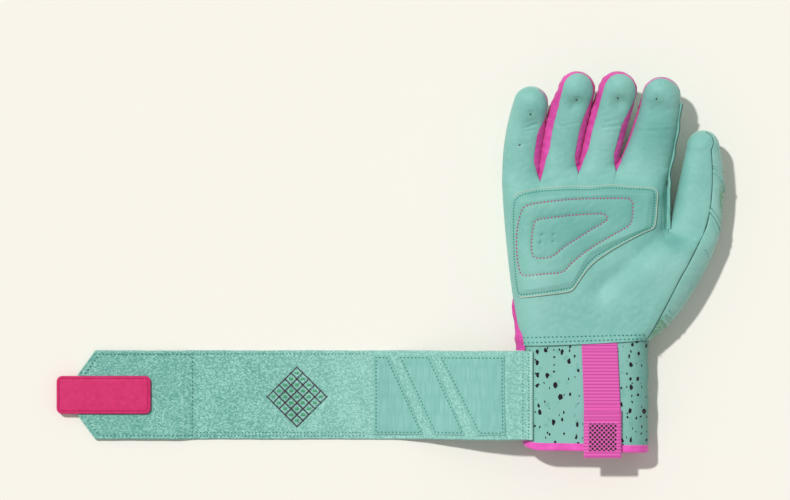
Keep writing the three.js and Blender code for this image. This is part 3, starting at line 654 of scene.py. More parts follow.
# %% Speckled cuff fabric
def chips(made, where, scale, least, most, share):
    """1 inside a chip: cell distance under a size that the cell's own colour picks, in the chosen share."""
    distance = made.cells(where, scale, voronoi_dimensions="2D")
    pick, size, _ = made.split(distance.node.outputs["Color"])
    inside = made.sums("LESS_THAN", distance, made.step(size, 0.0, 1.0, least, most))
    return made.sums("MULTIPLY", inside, made.sums("LESS_THAN", pick, share))


def cuff_finish(name):
    """Heathered ground, teal spots and two sizes of dark chips, with painted shade on the thumb's side."""
    made = Finish(name, 0.85, sheen=0.15, specular=0.25)
    push = made.node("TexNoise", {"Vector": made.rest, "Scale": 0.55, "Detail": 3.0}, "Color")
    pushed = made.node("VectorMath", {0: push, 1: (1.9, 2.6, 1.9)}, operation="MULTIPLY")
    warped = made.node("VectorMath", {0: made.rest, 1: pushed}, operation="ADD")
    slim = made.node("Mapping", {"Vector": warped, "Scale": (1.35, 0.85, 0.6)})
    heather = made.step(made.noise(made.rest, 2.6, 2.0, 0.7), 0.35, 0.7)
    ground = made.blend(heather, linear((130, 188, 176)), linear((147, 202, 192)))
    spots = made.sums("MULTIPLY", chips(made, warped, 0.19, 0.14, 0.30, 0.45), 0.55)
    ground = made.blend(spots, ground, linear((112, 176, 162)))
    # Painted shade: the ground darkens towards the thumb's side, where the cuff rolls away from the light.
    side = made.step(made.split(made.rest)[0], 20.0, 37.0, 0.0, 0.8)
    ground = made.blend(side, ground, linear((98, 156, 144)))
    large, small = chips(made, slim, 0.17, 0.12, 0.26, 0.42), chips(made, slim, 0.27, 0.09, 0.19, 0.33)
    colour = made.blend(made.sums("MAXIMUM", large, small), ground, linear((26, 17, 27)))
    return made.close(colour, made.noise(made.rest, 3.2, 3.0, 0.7), 0.12, 0.5)


cuff_finish("cuff_fabric")

# %% [markdown]
# Elastic tape is woven with short slanted floats, some of which catch more light than others. The loop
# fastener is a brushed pile with fine upright ribs.

# %% Elastic and fasteners
NEAR_START, NEAR_END = -185.0, -130.0


def woven_finish(name, *colours, cell, depth, turn=0.0, lightened=0.0):
    """Floats as cells, each with its own shade, stretched along the weave's slant. Towards the cuff a share
    of the pale colour is mixed in, which grows between two places along the strap."""
    made = Finish(name, 0.88, sheen=0.2, sheen_roughness=0.6, specular=0.2)
    body, deep, pale = map(linear, colours)
    laid = made.node("Mapping", {"Vector": made.rest, "Rotation": (0, 0, turn),
                                 "Scale": (1 / cell[0], 1 / cell[1], 1 / cell[1])})
    distance = made.cells(laid, 1.0, randomness=0.4)
    shade = made.split(distance.node.outputs["Color"])[0]
    round_top = made.step(distance, 0.0, 0.65, 1.0, 0.0)
    height = made.sums("ADD", made.sums("MULTIPLY", shade, 0.55), made.sums("MULTIPLY", round_top, 0.45))
    base = made.blend(made.step(height, 0.15, 0.6), deep, body)
    base = made.blend(made.step(height, 0.6, 0.95, 0.0, 0.9), base, pale)
    near = made.step(made.split(made.rest)[0], NEAR_START, NEAR_END, 0.0, lightened)
    return made.close(made.blend(near, base, pale), height, depth, 0.8)


woven_finish("strap_elastic", (145, 205, 193), (96, 164, 149), (194, 242, 232), cell=(0.95, 0.62), depth=0.12,
             turn=0.75, lightened=0.2)
woven_finish("loop_pile", (138, 197, 187), (127, 188, 177), (150, 206, 196), cell=(0.75, 9.0), depth=0.1)
woven_finish("hook_tape", (122, 182, 168), (88, 150, 136), (150, 200, 188), cell=(1.2, 1.2), depth=0.4)

# %% [markdown]
# The strap's tag is moulded soft rubber with a faint leather grain and a clearer shine than anything else.
# The sewing threads are polyester: fine twisted plies with a small sheen; the dark strips of painted
# # shadow that lie in the seams are made the same way. The holes are dark because no light comes back out of
# them.

# %% Rubber, thread and shadowed holes
def rubber_finish(name, colour, deep_colour):
    """Deep colour with a slight mottle, small grain and a thin clear coat."""
    made = Finish(name, 0.5, specular=0.25, coat=0.04)
    mottle = made.step(made.noise(made.rest, 0.4, 3.0), 0.35, 0.7)
    grain = made.cells(made.rest, 2.2, feature="DISTANCE_TO_EDGE")
    return made.close(made.blend(mottle, linear(deep_colour), linear(colour)), grain, 0.08, 0.35)


def thread_finish(name, colour, deep_colour):
    """Plies as slanted waves over the thread's own length."""
    made = Finish(name, 0.55, sheen=0.3, specular=0.4)
    x, y, z = made.split(made.rest)
    plies = made.ripple(made.sums("ADD", made.sums("ADD", x, y), z), 2.2)
    return made.close(made.blend(plies, linear(deep_colour), linear(colour)), plies, 0.08, 0.6)


rubber_finish("rose_rubber", (216, 44, 112), (204, 34, 100))
for name, colour, deep_colour in (
        ("teal_thread", (44, 158, 138), (20, 124, 108)), ("pink_thread", (212, 44, 126), (166, 30, 96)),
        ("mint_thread", (204, 246, 237), (166, 224, 211)), ("rose_thread", (168, 28, 84), (130, 18, 62)),
        ("dark_thread", (66, 44, 50), (38, 26, 32)), ("strap_thread", (78, 158, 140), (56, 130, 114)),
        # seam_shadow is painted shadow for the seams' grooves, made like a thread.
        ("seam_shadow", (44, 104, 94), (28, 80, 72)), ("leaf_thread", (84, 190, 128), (54, 148, 98)),
        ("hole_dark", (22, 26, 26), (12, 14, 14))):
    thread_finish(name, colour, deep_colour)
print("materials", len(bpy.data.materials))

# %% [markdown]
# Leather that has been worn shows how the hand bends: creases under each fingertip, puckers beside the
# seams, a fold beside the thumb. Each one is written as a short line in plan with a depth and a half width,
# and the bulges are bells. Very low waves in several directions keep the rest from looking machined.

# %% Folds, puckers and bulges
RIDGES = np.array([
    # start x, start y, end x, end y, height, half width
    [-34.6, 123.0, -26.2, 125.2, -0.60, 0.55], [-35.6, 125.4, -29.5, 127.4, -0.25, 0.45],
    [-34.0, 121.0, -26.8, 122.3, -0.35, 0.50], [-35.0, 118.8, -27.6, 119.8, -0.18, 0.50],
    [-40.5, 112.9, -31.5, 114.8, -0.30, 0.45], [-39.5, 111.6, -33.5, 111.9, -0.20, 0.40],
    [-38.6, 116.3, -34.4, 115.2, -0.22, 0.40], [-37.5, 109.8, -31.0, 110.4, -0.14, 0.60],
    [-14.4, 124.2, -3.9, 126.2, -0.35, 0.55], [-13.6, 122.4, -7.0, 122.7, -0.20, 0.45],
    [-12.5, 127.0, -5.0, 128.3, -0.16, 0.50], [-15.5, 119.0, -9.0, 118.0, -0.14, 0.60],
    [10.8, 123.6, 20.8, 124.8, -0.50, 0.55], [12.0, 126.8, 21.2, 128.6, -0.30, 0.50],
    [9.8, 121.0, 18.0, 121.3, -0.16, 0.50], [10.6, 130.4, 17.5, 131.4, -0.16, 0.50],
    [7.5, 110.5, 16.0, 109.8, -0.20, 0.70], [6.5, 113.6, 13.5, 113.2, -0.12, 0.70],
    [30.5, 121.8, 48.5, 122.4, -0.20, 0.70], [34.5, 124.4, 48.0, 125.6, -0.22, 0.60],
    [36.5, 117.8, 46.5, 118.0, -0.14, 0.70], [29.5, 111.0, 38.5, 110.0, -0.10, 0.80],
    [47.0, 133.4, 53.6, 135.0, -0.85, 0.90], [46.5, 127.8, 53.4, 127.0, -0.75, 0.80],
    [46.8, 122.0, 53.6, 122.6, -0.65, 0.80], [45.8, 117.0, 53.0, 116.2, -0.60, 0.80],
    [44.5, 112.6, 52.4, 111.0, -0.50, 0.80], [43.5, 107.5, 51.0, 106.0, -0.40, 0.80],
    [16.0, 99.5, 6.7, 94.5, -0.30, 0.90], [18.5, 96.0, 10.0, 93.2, -0.20, 0.80],
    [-4.0, 97.5, -10.0, 95.2, -0.20, 0.80], [-24.5, 92.0, -19.0, 93.0, -0.15, 0.80],
    [47.2, 64.5, 32.4, 53.0, -1.10, 2.4], [32.4, 53.0, 9.5, 33.0, -0.50, 3.2],
    [46.8, 71.0, 43.4, 84.0, -0.50, 0.9], [44.6, 68.0, 42.8, 74.0, -0.35, 0.7],
    [46.5, 66.5, 38.0, 60.5, -0.30, 0.8], [-24.7, 25.6, 9.5, 15.4, -0.28, 1.2],
    [-30.0, 20.0, -5.0, 13.5, -0.16, 1.0], [12.0, 26.0, 30.0, 16.0, -0.16, 1.4],
    [26.0, 22.0, 38.0, 14.0, -0.18, 1.2], [58.5, 70.0, 66.0, 66.5, -0.20, 0.9],
    [56.0, 84.0, 64.0, 81.5, -0.16, 1.0], [55.5, 97.0, 62.5, 95.5, -0.14, 1.0],
    [53.0, 58.0, 60.0, 50.0, -0.20, 1.2], [-36.0, 104.0, -27.5, 101.0, -0.14, 1.0],
])
BULGES = np.array([
    # x, y, height, radius
    [-28.6, 139.5, 1.3, 8.0], [-29.5, 124.8, -1.3, 4.6], [-36.5, 113.0, 0.3, 7.5],
    [-4.2, 146.7, 2.2, 7.4], [-5.2, 136.2, -2.3, 4.5], [-10.0, 119.0, 0.6, 8.0],
    [22.0, 147.4, 2.2, 7.6], [20.2, 136.8, -2.4, 4.7], [12.6, 118.0, 0.6, 8.0],
    [41.6, 147.0, 1.9, 8.2], [40.2, 134.6, -1.7, 5.4], [46.0, 131.0, -0.8, 4.5], [40.0, 117.0, 0.5, 9.0],
    [-30.1, 131.6, -0.40, 1.6], [-36.2, 114.1, -0.55, 1.3], [-4.0, 140.0, -0.35, 1.3],
    [19.5, 140.6, -0.40, 1.4], [41.2, 140.7, -0.35, 1.3], [38.5, 121.6, -0.40, 1.4],
    [38.6, 44.0, 1.4, 13.0], [62.0, 96.0, 0.5, 12.0],
])
RIDGE_SPLIT_X, OUTER_GAIN, INNER_GAIN, WIDEN = 43, 0.25, 0.7, 1.2
RIDGES[:, 4] *= np.where(RIDGES[:, 0] > RIDGE_SPLIT_X, OUTER_GAIN, INNER_GAIN)
RIDGES[:, 5] *= WIDEN


def soft_waves(x, y, wavelength, seed, count=9):
    """Mean of sine waves in seeded random directions, with lengths near the given one."""
    draw = np.random.default_rng(seed)
    total = 0.0
    for angle, stretch, phase in zip(draw.uniform(0, TURN, count), draw.uniform(0.75, 1.35, count),
                                     draw.uniform(0, TURN, count)):
        along = x * np.cos(angle) + y * np.sin(angle)
        total = total + np.sin(along * 2 * np.pi / (wavelength * stretch) + phase)
    return total / np.sqrt(count)


def fine_relief(x, y):
    """All folds and bulges at a plan point, plus two sets of low waves, in millimetres."""
    total = 0.10 * soft_waves(x, y, 13.0, 3) + 0.035 * soft_waves(x, y, 4.2, 8)
    for start_x, start_y, end_x, end_y, height, half_width in RIDGES:
        distance = segment_distance(x, y, (start_x, start_y), (end_x, end_y))
        total = total + height * bell(distance, half_width)
    for at_x, at_y, height, radius in BULGES:
        total = total + mound(x, y, (at_x, at_y), height, radius)
    return total


print("folds", len(RIDGES), "bulges", len(BULGES))

# %% [markdown]
# The palm leather and a finger's front are one skin on the real glove, yet the finger has to bend. So each
# finger's panel reaches four millimetres down over the palm on the very same formula, a hair higher, and
# the palm's own panel stops under it. At the root both follow the hand's arch, and the stall's oval takes
# over within a few millimetres.

# %% Surfaces of the hand and the stalls
GUSSET_SHARE, GUSSET_REACH = 0.092, 0.29
THENAR_SEAM_LOW, THENAR_SEAM_HIGH = 0.872, 0.923
ROOT_SEAMS = {"thumb": (0.5, 0.084)}
SEAM_DEPTH, SEAM_WIDTH, BEND_LIFT = 0.55, 1.3, 9.5


def gusset_edge(v):
    """Share of the palm that the pink wrist wedge takes: greatest at the wrist, nothing from its point on."""
    return GUSSET_SHARE * clamp01(1 - v / GUSSET_REACH) * mix(1, 0.3, smooth((v - 0.05) / 0.1))


def thenar_seam(v):
    """Share across the hand where the palm leather meets the back: a straight mix up to the thumb."""
    return mix(THENAR_SEAM_LOW, THENAR_SEAM_HIGH, v)


def hem_shift(grid, v):
    """The palm's lower hem runs slightly uphill towards the thumb: a parabola in x that fades up the palm."""
    x, moved = grid[..., 0], grid.copy()
    moved[..., 1] += (0.8 + 0.045 * x + 0.0005 * x * x) * (1 - clamp01(v)) ** 8
    return moved


def hand_skin(u, v):
    """The palm side's surface with its folds, and the hem's slant."""
    grid = hand_point(u, v, 1)
    edge = roll_off(np.linalg.norm(grid[..., :2] - plan_point(0 * u, v), axis=-1), 3.0)
    grid[..., 2] += fine_relief(grid[..., 0], grid[..., 1]) * edge
    return hem_shift(grid, v)


def stall_surface(name, t, turn, around, inset=0.0):
    """The stall's oval, mixed near the root with the hand's arch carried along the spine. Below t = 0 it is
    the hand itself."""
    stall = STALLS[name]
    t, turn, around = np.broadcast_arrays(np.asarray(t, float), turn, around)
    inside = np.clip(t, 0, 1)
    oval = stall_point(stall, inside, turn, around, inset)
    first, last = BREAKS[stall["segment"]], BREAKS[stall["segment"] + 1]
    from_middle = np.where(around <= 0.5, around, 1 - around)
    u = mix(first, last, clamp01(0.5 + np.where(turn < 0.5, -1, 1) * from_middle))
    v = clamp01(1 + np.minimum(t, 0) * stall["reach"] / PALM_LENGTH)
    arch = np.where((around <= 0.5)[..., None], hand_point(u, v, 1), hand_point(u, v, -1))
    spine, start = stall_spine(stall, inside)[0], stall_spine(stall, 0.0)[0]
    arch = arch + (spine - start)
    arch = arch + unit(spine - arch) * inset
    return mix(arch, oval, smooth(t / ROOT_BLEND)[..., None])


def stall_outward(name, t, grid):
    """Unit directions from the stall's spine to the points of a grid."""
    return unit(grid - stall_spine(STALLS[name], np.clip(t, 0, 1))[0])


def stall_seam(name, seams, t, turn, share):
    """Seam share, mixed with the crotch's at the root."""
    at_root = np.where(turn < 0.5, *ROOT_SEAMS.get(name, (0.5, 0.5)))
    return mix(at_root, seam_share(seams[name], t, turn), share)


def front_seam(name, t, turn):
    """The front seam leaves the crotch steeply."""
    return stall_seam(name, FRONT_SEAMS, t, turn, clamp01(t / 0.30) ** 0.55)


def back_seam(name, t, turn):
    """The back seam leaves the crotch by a smooth step."""
    return stall_seam(name, BACK_SEAMS, t, turn, smooth(t / 0.13))


def outline(side_count, tip_count, start):
    """t and turn up the left side, over the tip and down the right side."""
    side, tip = np.linspace(start, 1, side_count), np.linspace(0, 1, tip_count)[1:-1]
    t = np.concatenate([side, np.ones(len(tip)), side[::-1]])
    turn = np.concatenate([np.zeros(side_count), tip, np.ones(side_count)])
    return t[:, None], turn[:, None]


def seam_drop(distance, depth=SEAM_DEPTH):
    """How far a leather edge turns in at its seam: a quarter round over the seam's width."""
    return depth * (1 - roll_off(distance, SEAM_WIDTH))


def finger_bend(name):
    """The bend of a stall's pieces: the hand, the stall's own body, and the points between which it bends,
    just below the root and a quarter of the way up the stall."""
    spine = stall_spine(STALLS[name], np.array([0.0, 0.24]))[0]
    start, end = place(spine[0] + [0, -0.4, BEND_LIFT]), place(spine[1] + [0, 0, BEND_LIFT])
    body = "thumb" if name == "thumb" else name + "_finger"
    return "hand", body, tuple(start.tolist()), tuple(end.tolist())


# %% [markdown]
# Every piece is dressed the same way: it gets its material and either rides on one body or, where it
# # would bend between two, is baked in place; the plain nodes that it replaces are hidden. Painted light and
# # shade on the leather, and its prints, are written on its points as values, which the leather's nodes read.

# %% Dressing a piece
# Painted shade (amount above 0) and painted light (amount below 0) as bells: x, y, radius, amount.
LIGHT_AND_SHADE_SPOTS = [(41.0, 122.0, 12, 0.7), (-4.0, 68.5, 19, 0.7), (31.0, 78.7, 12, 0.6), (46.0, 84.0, 6, 0.9),
         (16.0, 80.0, 12, 0.3), (-27.6, 18.8, 15, -0.6), (-25.0, 38.0, 11, -0.8), (47.8, 40.0, 18, -0.5),
         (11.2, 117.0, 9, -0.7), (-6.0, 119.0, 8, -0.2), (52.0, 58.0, 7, 0.9), (38.0, 59.0, 9, 0.6),
         (60.0, 40.0, 10, -0.3)]
PRINTS, PRINT_GAIN = [(79.6, 83.0, 3.0, 9.0), (44.0, 8.0, 7.0, 7.0)], 1.6


def painted_light_and_shade(x, y):
    """Painted shade above 0 in the palm's hollow, its creases and by the thumb; painted light below 0: a sum
    of bells.
    """
    return sum(mound(x, y, (at_x, at_y), amount, radius) for at_x, at_y, radius, amount in LIGHT_AND_SHADE_SPOTS)


def print_field(x, y):
    """Where the leaf-green print lies on the outer side: oval bells round its two fields."""
    bells = sum(np.exp(-((x - at_x) / wide) ** 2 - ((y - at_y) / high) ** 2)
                for at_x, at_y, wide, high in PRINTS)
    return smooth(bells * PRINT_GAIN)


def with_value(piece, attribute, value_at):
    """Writes a value of each point's rest x and y on the points."""
    rest = np.empty(len(piece.data.vertices) * 3, np.float32)
    piece.data.attributes["rest"].data.foreach_get("vector", rest)
    x, y, _ = rest.reshape(-1, 3).T
    values = piece.data.attributes.new(attribute, "FLOAT", "POINT")
    values.data.foreach_set("value", value_at(x, y).astype(np.float32))
    return piece


def dress(piece, finish, body, slot, *nodes):
    """Gives a piece its material and its body, or for a bend only bakes it in place; hides the nodes that
    it replaces. The slot is not used.
    """
    piece.data.materials.append(FINISHES[finish])
    if isinstance(body, tuple):
        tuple(body[2])
        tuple(body[3])
        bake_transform(piece)
    else:
        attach(piece, body)
    if nodes:
        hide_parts(*nodes)
    return piece


# %% [markdown]
# The palm panel is a sheet on the hand's grid. Its rows stop just under the finger panels, its left edge is
# cut back for the pink wrist wedge and its right edge turns in at the seam with the back of the glove.

# %% Palm leather
PALM_ROWS, PALM_COLUMNS, PALM_TOP, TUCK_START, TUCK_DEPTH = 130, 210, 0.985, 0.955, 0.35
THUMB_SEAM_DROP, WEDGE_SEAM_DROP, WEDGE_SPAN = 0.35, 0.4, 110.0


def upward(grid):
    """Grid normals turned so that they point up on average, away from the glove's inside."""
    normals = grid_normals(grid)
    return normals * np.sign(normals[..., 2].mean())


def palm_grid():
    """Rows from the hem to the roots and columns from the wedge to the thumb seam, denser over the arches."""
    v = rows_of(0, PALM_TOP, PALM_ROWS)
    u = mix(gusset_edge(v), thenar_seam(v), columns_of(0, 1, PALM_COLUMNS))
    grid = hand_skin(u, v)
    drop = (seam_drop((thenar_seam(v) - u) * SPANS.sum(), THUMB_SEAM_DROP)
            + seam_drop((u - gusset_edge(v)) * WEDGE_SPAN, WEDGE_SEAM_DROP))
    drop = drop + TUCK_DEPTH * smooth((v - TUCK_START) / 0.02)
    return grid - upward(grid) * drop[..., None]


skin = palm_grid()
# The palm's points carry painted light and shade.
palm = with_value(shell_object("palm_leather", skin, skin - upward(skin) * LEATHER), "light_and_shade", painted_light_and_shade)
dress(palm, "palm_leather", "hand", "palm_leather", "palm_panel")
print("palm leather", len(palm.data.polygons), "faces")

# %% [markdown]
# Each finger's front is cut from the palm's skin and sewn to the side strip, or straight to the back where
# there is no strip. Its edge turns in at the seam, which leaves the thin groove that a sewn seam has. The
# backs are cut the same way. They lie on the table and carry three raised ribs over each knuckle, as many
# gloves have, so that the back can bend without the leather balling up.

# %% Fronts and backs of the stalls
PANEL_START, CROWD, RIB_START, RIB_END, RIB_COUNT, RIB_HEIGHT = -0.09, 1.25, 0.30, 0.56, 3, 0.7
FRONT_LIFT, BACK_LIFT, PANEL_TUCK = 0.06, 0.05, -0.05


def front_relief(grid, outward):
    """The palm's folds, as far as the surface looks up."""
    return fine_relief(grid[..., 0], grid[..., 1]) * clamp01(outward[..., 2] * 1.4)


def back_ribs(t, around):
    """Three low waves across the back between a third and half of the stall."""
    zone = between(t, RIB_START, RIB_END, 0.05) * smooth((around - 0.62) / 0.08)
    return RIB_HEIGHT * zone * np.sin((t - RIB_START) / 0.26 * RIB_COUNT * np.pi) ** 2


def panel_grid(name, t, turn, around, from_seam, height):
    """The stall's surface, its outward directions, its lift of a hair over the palm's own panel, and its drop
    by a quarter round at the seam."""
    grid = stall_surface(name, t, turn, around)
    drop = seam_drop(from_seam * np.pi * STALLS[name]["middle"] / 2) * smooth(t / 0.1)
    lift = mix(PANEL_TUCK, height, smooth((t - PANEL_START) / 0.02)) * (1 - smooth(t / 0.06))
    return grid, stall_outward(name, t, grid), lift, drop


def front_panel(name):
    """Outline places times shares from the middle of the front (0) to the front seam."""
    t, turn = outline(104, 56, PANEL_START)
    seam = front_seam(name, t, turn)
    around = seam * (1 - (1 - columns_of(0, 1, 26)) ** CROWD)
    grid, outward, lift, drop = panel_grid(name, t, turn, around, seam - around, FRONT_LIFT)
    outward = unit(mix(UP, outward, smooth(t / 0.2)[..., None]))
    outer = grid + outward * (front_relief(grid, outward) + lift - drop)[..., None]
    piece = shell_object(name + "_front_leather", outer, outer - outward * LEATHER)
    # The front's points carry painted light and shade.
    with_value(piece, "light_and_shade", painted_light_and_shade)
    return dress(piece, "palm_leather", finger_bend(name), "palm_leather", name + "_front")


def back_panel(name):
    """Outline places times shares from the back seam to the middle of the back (1); the thumb's is finer."""
    side_count, tip_count, columns = (140, 50, 50) if name == "thumb" else (70, 40, 22)
    t, turn = outline(side_count, tip_count, PANEL_START)
    seam = back_seam(name, t, turn)
    around = mix(seam, 1.0, columns_of(0, 1, columns) ** CROWD)
    grid, outward, lift, drop = panel_grid(name, t, turn, around, around - seam, BACK_LIFT)
    outer = grid + outward * (lift + back_ribs(t, around) - drop)[..., None]
    outer[..., 2] = np.maximum(outer[..., 2], 0.0)
    piece = shell_object(name + "_back_leather", outer, outer - outward * LEATHER)
    with_value(piece, "print", print_field)
    return dress(piece, "back_leather", finger_bend(name), "back_leather", name + "_back")


for panel in (front_panel, back_panel):
    print(panel.__name__, [len(panel(name).data.polygons) for name in STALLS])

# %% [markdown]
# Between front and back runs a strip of pink knit. It is set a little deeper than the leather and tucks
# under both edges. Where two fingers press together it bulges into the slot, most on the ring finger's
# left. At each crotch it turns back on itself round the end of the slot. That turn stays with the hand: a
# short curtain in the shape of a U, standing between the palm's arch and the back.

# %% Pink side strips and crotch webs
SIDE_BULGES = {"little": (0.0, 0.5), "ring": (1.7, 0.7), "middle": (1.3, 0.6), "index": (0.5, 0.0)}
STRIP_TURNS = {"little": (0.5, 1.0), "ring": (0.0, 1.0), "middle": (0.0, 1.0), "index": (0.0, 0.84)}
STRIP_TUCK, STRIP_SINK, STRIP_INSET = 0.035, 0.35, 0.4


def side_strip(name):
    """The stall's oval between its two seams, mixed at the root with the wall of the crotch."""
    t, turn = outline(90, 48, 0.0)
    first, last = STRIP_TURNS[name]
    chosen = (turn[:, 0] >= first) & (turn[:, 0] <= last)
    t, turn = t[chosen], turn[chosen]
    low, high = front_seam(name, t, turn), back_seam(name, t, turn)
    share = columns_of(0, 1, 14)
    bulge = np.where(turn < 0.5, *SIDE_BULGES[name]) * np.sin(np.pi * share) ** 0.8
    bulge = bulge * smooth(t / 0.12) * smooth((1 - t) / 0.3)
    wrinkles = 0.16 * soft_waves(t * 60 + turn * 40, share * 16, 5.5, 21) * smooth(t / 0.1)
    oval = stall_point(STALLS[name], t, turn, mix(low - STRIP_TUCK, high + STRIP_TUCK, share))
    outward = stall_outward(name, t, oval)
    oval = oval + outward * (wrinkles + bulge - STRIP_SINK)[..., None]
    top = stall_surface(name, t, turn, np.minimum(low, 0.5), STRIP_INSET)
    bottom = stall_surface(name, t, turn, np.maximum(high, 0.5 + 1e-6), STRIP_INSET)
    outer = mix(mix(top, bottom, share[..., None]), oval, smooth(t / 0.13)[..., None])
    piece = shell_object(name + "_side_strip", outer, outer - outward * STRETCH)
    return dress(piece, "pink_stretch", finger_bend(name), "pink_stretch", name + "_fourchette")


def crotch_web(pair, index, slant):
    """A U in plan, half a parabola to each side, carried from the palm's arch to the back's. Between them it
    leans out into the slot, so that pink shows at its end."""
    across = columns_of(-1, 1, 25)
    down = rows_of(0, 1, 9)
    x = ROOTS[index, 0] + 3.0 * across * (1 - 0.15 * down) + slant * np.abs(across)
    y = ROOTS[index, 1] - 0.9 + 3.6 * np.abs(across) ** 1.6 + 7.0 * np.sin(np.pi * down) ** 0.8
    z = MIDDLE_HEIGHT + mix(8.2, -6.6, down) - 1.0 * np.abs(across) ** 2 * (1 - 2 * down)
    outer = grid_of(x, y, z)
    piece = shell_object("crotch_" + pair, outer, outer - np.array([0, STRETCH, 0]))
    return dress(piece, "pink_stretch", "hand", "pink_stretch", "web_" + pair)


print("side strips", [len(side_strip(name).data.polygons) for name in STRIP_TURNS])
for pair, index, slant in (("little_ring", 1, 0.3), ("ring_middle", 2, 0.3), ("middle_index", 3, 0.4)):
    print("web", pair, len(crotch_web(pair, index, slant).data.polygons))

# %% [markdown]
# The back of the hand wraps round the thumb's side, where bands are sewn on it further down, and goes on
# underneath. There the panel carries chevron ribs towards the knuckles, so that it isn't a blank sheet.

# %% Back of the hand
CHEVRON_X, CHEVRON_SLANT, CHEVRON_PITCH, BACK_GAP = 4.0, 0.45, 5.5, 0.0008


def chevron_ribs(x, y):
    """Low ribs in nested V shapes: a wave of y less half the distance from the middle finger's line."""
    run = y - CHEVRON_SLANT * np.abs(x - CHEVRON_X)
    zone = between(run, 22, 66, 4) * smooth((36 - np.abs(x - CHEVRON_X)) / 4)
    return 0.55 * zone * np.sin(run * np.pi / CHEVRON_PITCH) ** 4


def hand_back_grid(rows=160, wrapped=44, under=150):
    """Columns from the thumb seam over the thumb's edge, then back under the hand to the pink wedge."""
    v = rows_of(0, PALM_TOP, rows)
    first = mix(thenar_seam(v) + BACK_GAP, 1.0, np.linspace(0, 1, wrapped)[None, :-1])
    second = mix(1.0, gusset_edge(v), columns_of(0, 1, under))
    front, back = hand_point(first, v, 1), hand_point(second, v, -1)
    front[..., 2] -= seam_drop((first - thenar_seam(v) - BACK_GAP) * SPANS.sum(), 0.35)
    back[..., 2] -= chevron_ribs(back[..., 0], back[..., 1])
    grid = hem_shift(np.concatenate([front, back], 1), v)
    grid[..., 2] = np.maximum(grid[..., 2], 0.0)
    return grid


hand_back = hand_back_grid()
inward = grid_normals(hand_back)
inward = inward * np.sign((inward[:, -60:, 2]).mean())
back_of_hand = shell_object("back_leather", hand_back, hand_back + inward * LEATHER)
dress(with_value(back_of_hand, "print", print_field), "back_leather", "hand", "back_leather", "back_panel")
print("back of the hand", len(back_of_hand.data.polygons), "faces")

# %% [markdown]
# At the little finger's side of the wrist a narrow wedge of pink knit lets the hand in. It bulges slightly
# between the palm's edge and the back's edge.

# %% Pink wrist wedge
def wrist_wedge(rows=40, columns=20):
    """From the palm's edge round the glove's edge to the back's edge, pushed outwards by a cosine."""
    v = rows_of(-0.03, GUSSET_REACH * 0.97, rows)
    share = columns_of(-1, 1, columns)
    inside = np.maximum(v, 0)
    edge = (gusset_edge(inside) + 0.006) * np.abs(share)
    grid = np.where((share < 0)[..., None], hand_point(edge, inside, 1), hand_point(edge, inside, -1))
    grid[..., 1] += np.minimum(v, 0) * PALM_LENGTH
    swell = np.cos(np.pi / 2 * share)
    bulge = (1.5 + 1.3 * smooth((0.12 - v) / 0.1)) * swell * smooth((GUSSET_REACH - v) / 0.06)
    grid[..., 0] -= bulge + 0.12 * soft_waves(v * PALM_LENGTH, share * 8, 7.0, 31) * swell + 0.05
    grid[..., 2] -= 0.3 * np.sign(-share) * (np.abs(share) > 0.8)
    return shell_object("wrist_wedge", grid, grid + np.array([STRETCH, 0, 0]))


wedge = dress(wrist_wedge(), "pink_stretch", "hand", "pink_stretch", "wrist_gusset")
print("wrist wedge", len(wedge.data.polygons), "faces")


# %% [markdown]
# A second layer of leather is sewn on the palm over a thin sheet of foam. Its outline is a closed line in
# plan, so the piece is a disc: rings from its middle to the outline, laid on the palm's height. It puffs up
# between the rows of stitching and is drawn down along them.

# %% Outlines on the palm pad
PAD_MIDDLE = np.array([-4.0, 64.0])
PAD_EDGE = np.array([
    (-42.0, 80.5), (-40.6, 84.0), (-37.5, 86.4), (-32.5, 87.6), (-25.9, 89.0), (-17.3, 89.6), (-7.0, 90.4),
    (3.3, 89.9), (14.7, 91.2), (27.2, 89.8), (36.5, 89.5), (40.2, 88.7), (41.4, 86.6), (40.7, 77.0),
    (40.0, 68.8), (38.9, 66.4), (34.1, 64.7), (22.4, 58.6), (12.2, 52.5), (3.5, 46.3), (-3.0, 37.6),
    (-6.5, 32.0), (-9.0, 30.6), (-25.9, 28.5), (-37.6, 27.2), (-39.0, 28.6), (-40.6, 38.0), (-41.6, 50.0),
    (-42.2, 64.0)])
OUTER_LOOP = [(-35.1, 77.9), (-32.1, 79.7), (-21.9, 81.6), (-4.7, 83.1), (8.4, 83.4), (23.8, 83.5),
              (26.4, 82.7), (27.5, 80.5), (27.2, 74.4), (26.2, 68.7), (22.4, 66.2), (9.5, 59.1),
              (-1.6, 51.9), (-8.2, 45.9), (-12.3, 41.2), (-21.9, 40.7), (-31.0, 39.7), (-35.1, 39.7),
              (-36.7, 41.7), (-38.2, 49.0), (-38.7, 59.1), (-38.2, 66.7), (-36.9, 72.9)]
INNER_LOOP = [(-27.0, 71.5), (-17.9, 72.7), (-7.0, 73.9), (8.4, 74.9), (12.2, 73.9), (13.1, 71.9),
              (11.7, 70.3), (2.0, 64.7), (-8.2, 58.1), (-11.6, 56.0), (-17.9, 50.4), (-23.0, 49.4),
              (-28.0, 49.6), (-29.7, 51.4), (-30.3, 56.5), (-29.7, 64.2), (-28.5, 69.8)]
VENTS = [(-24.2, 62.8), (-17.6, 63.0), (-25.1, 58.3), (-17.9, 58.9)]
OUTER_LOOP, INNER_LOOP, PAD_EDGE = (smooth_outline(OUTER_LOOP, 1), smooth_outline(INNER_LOOP, 1),
                                    smooth_outline(PAD_EDGE, 2))
PAD_SEAT, PAD_LEATHER, EDGE_ROW_INSET, PAD_TURN_DOWN = 0.15, 1.1, 1.9, 0.25
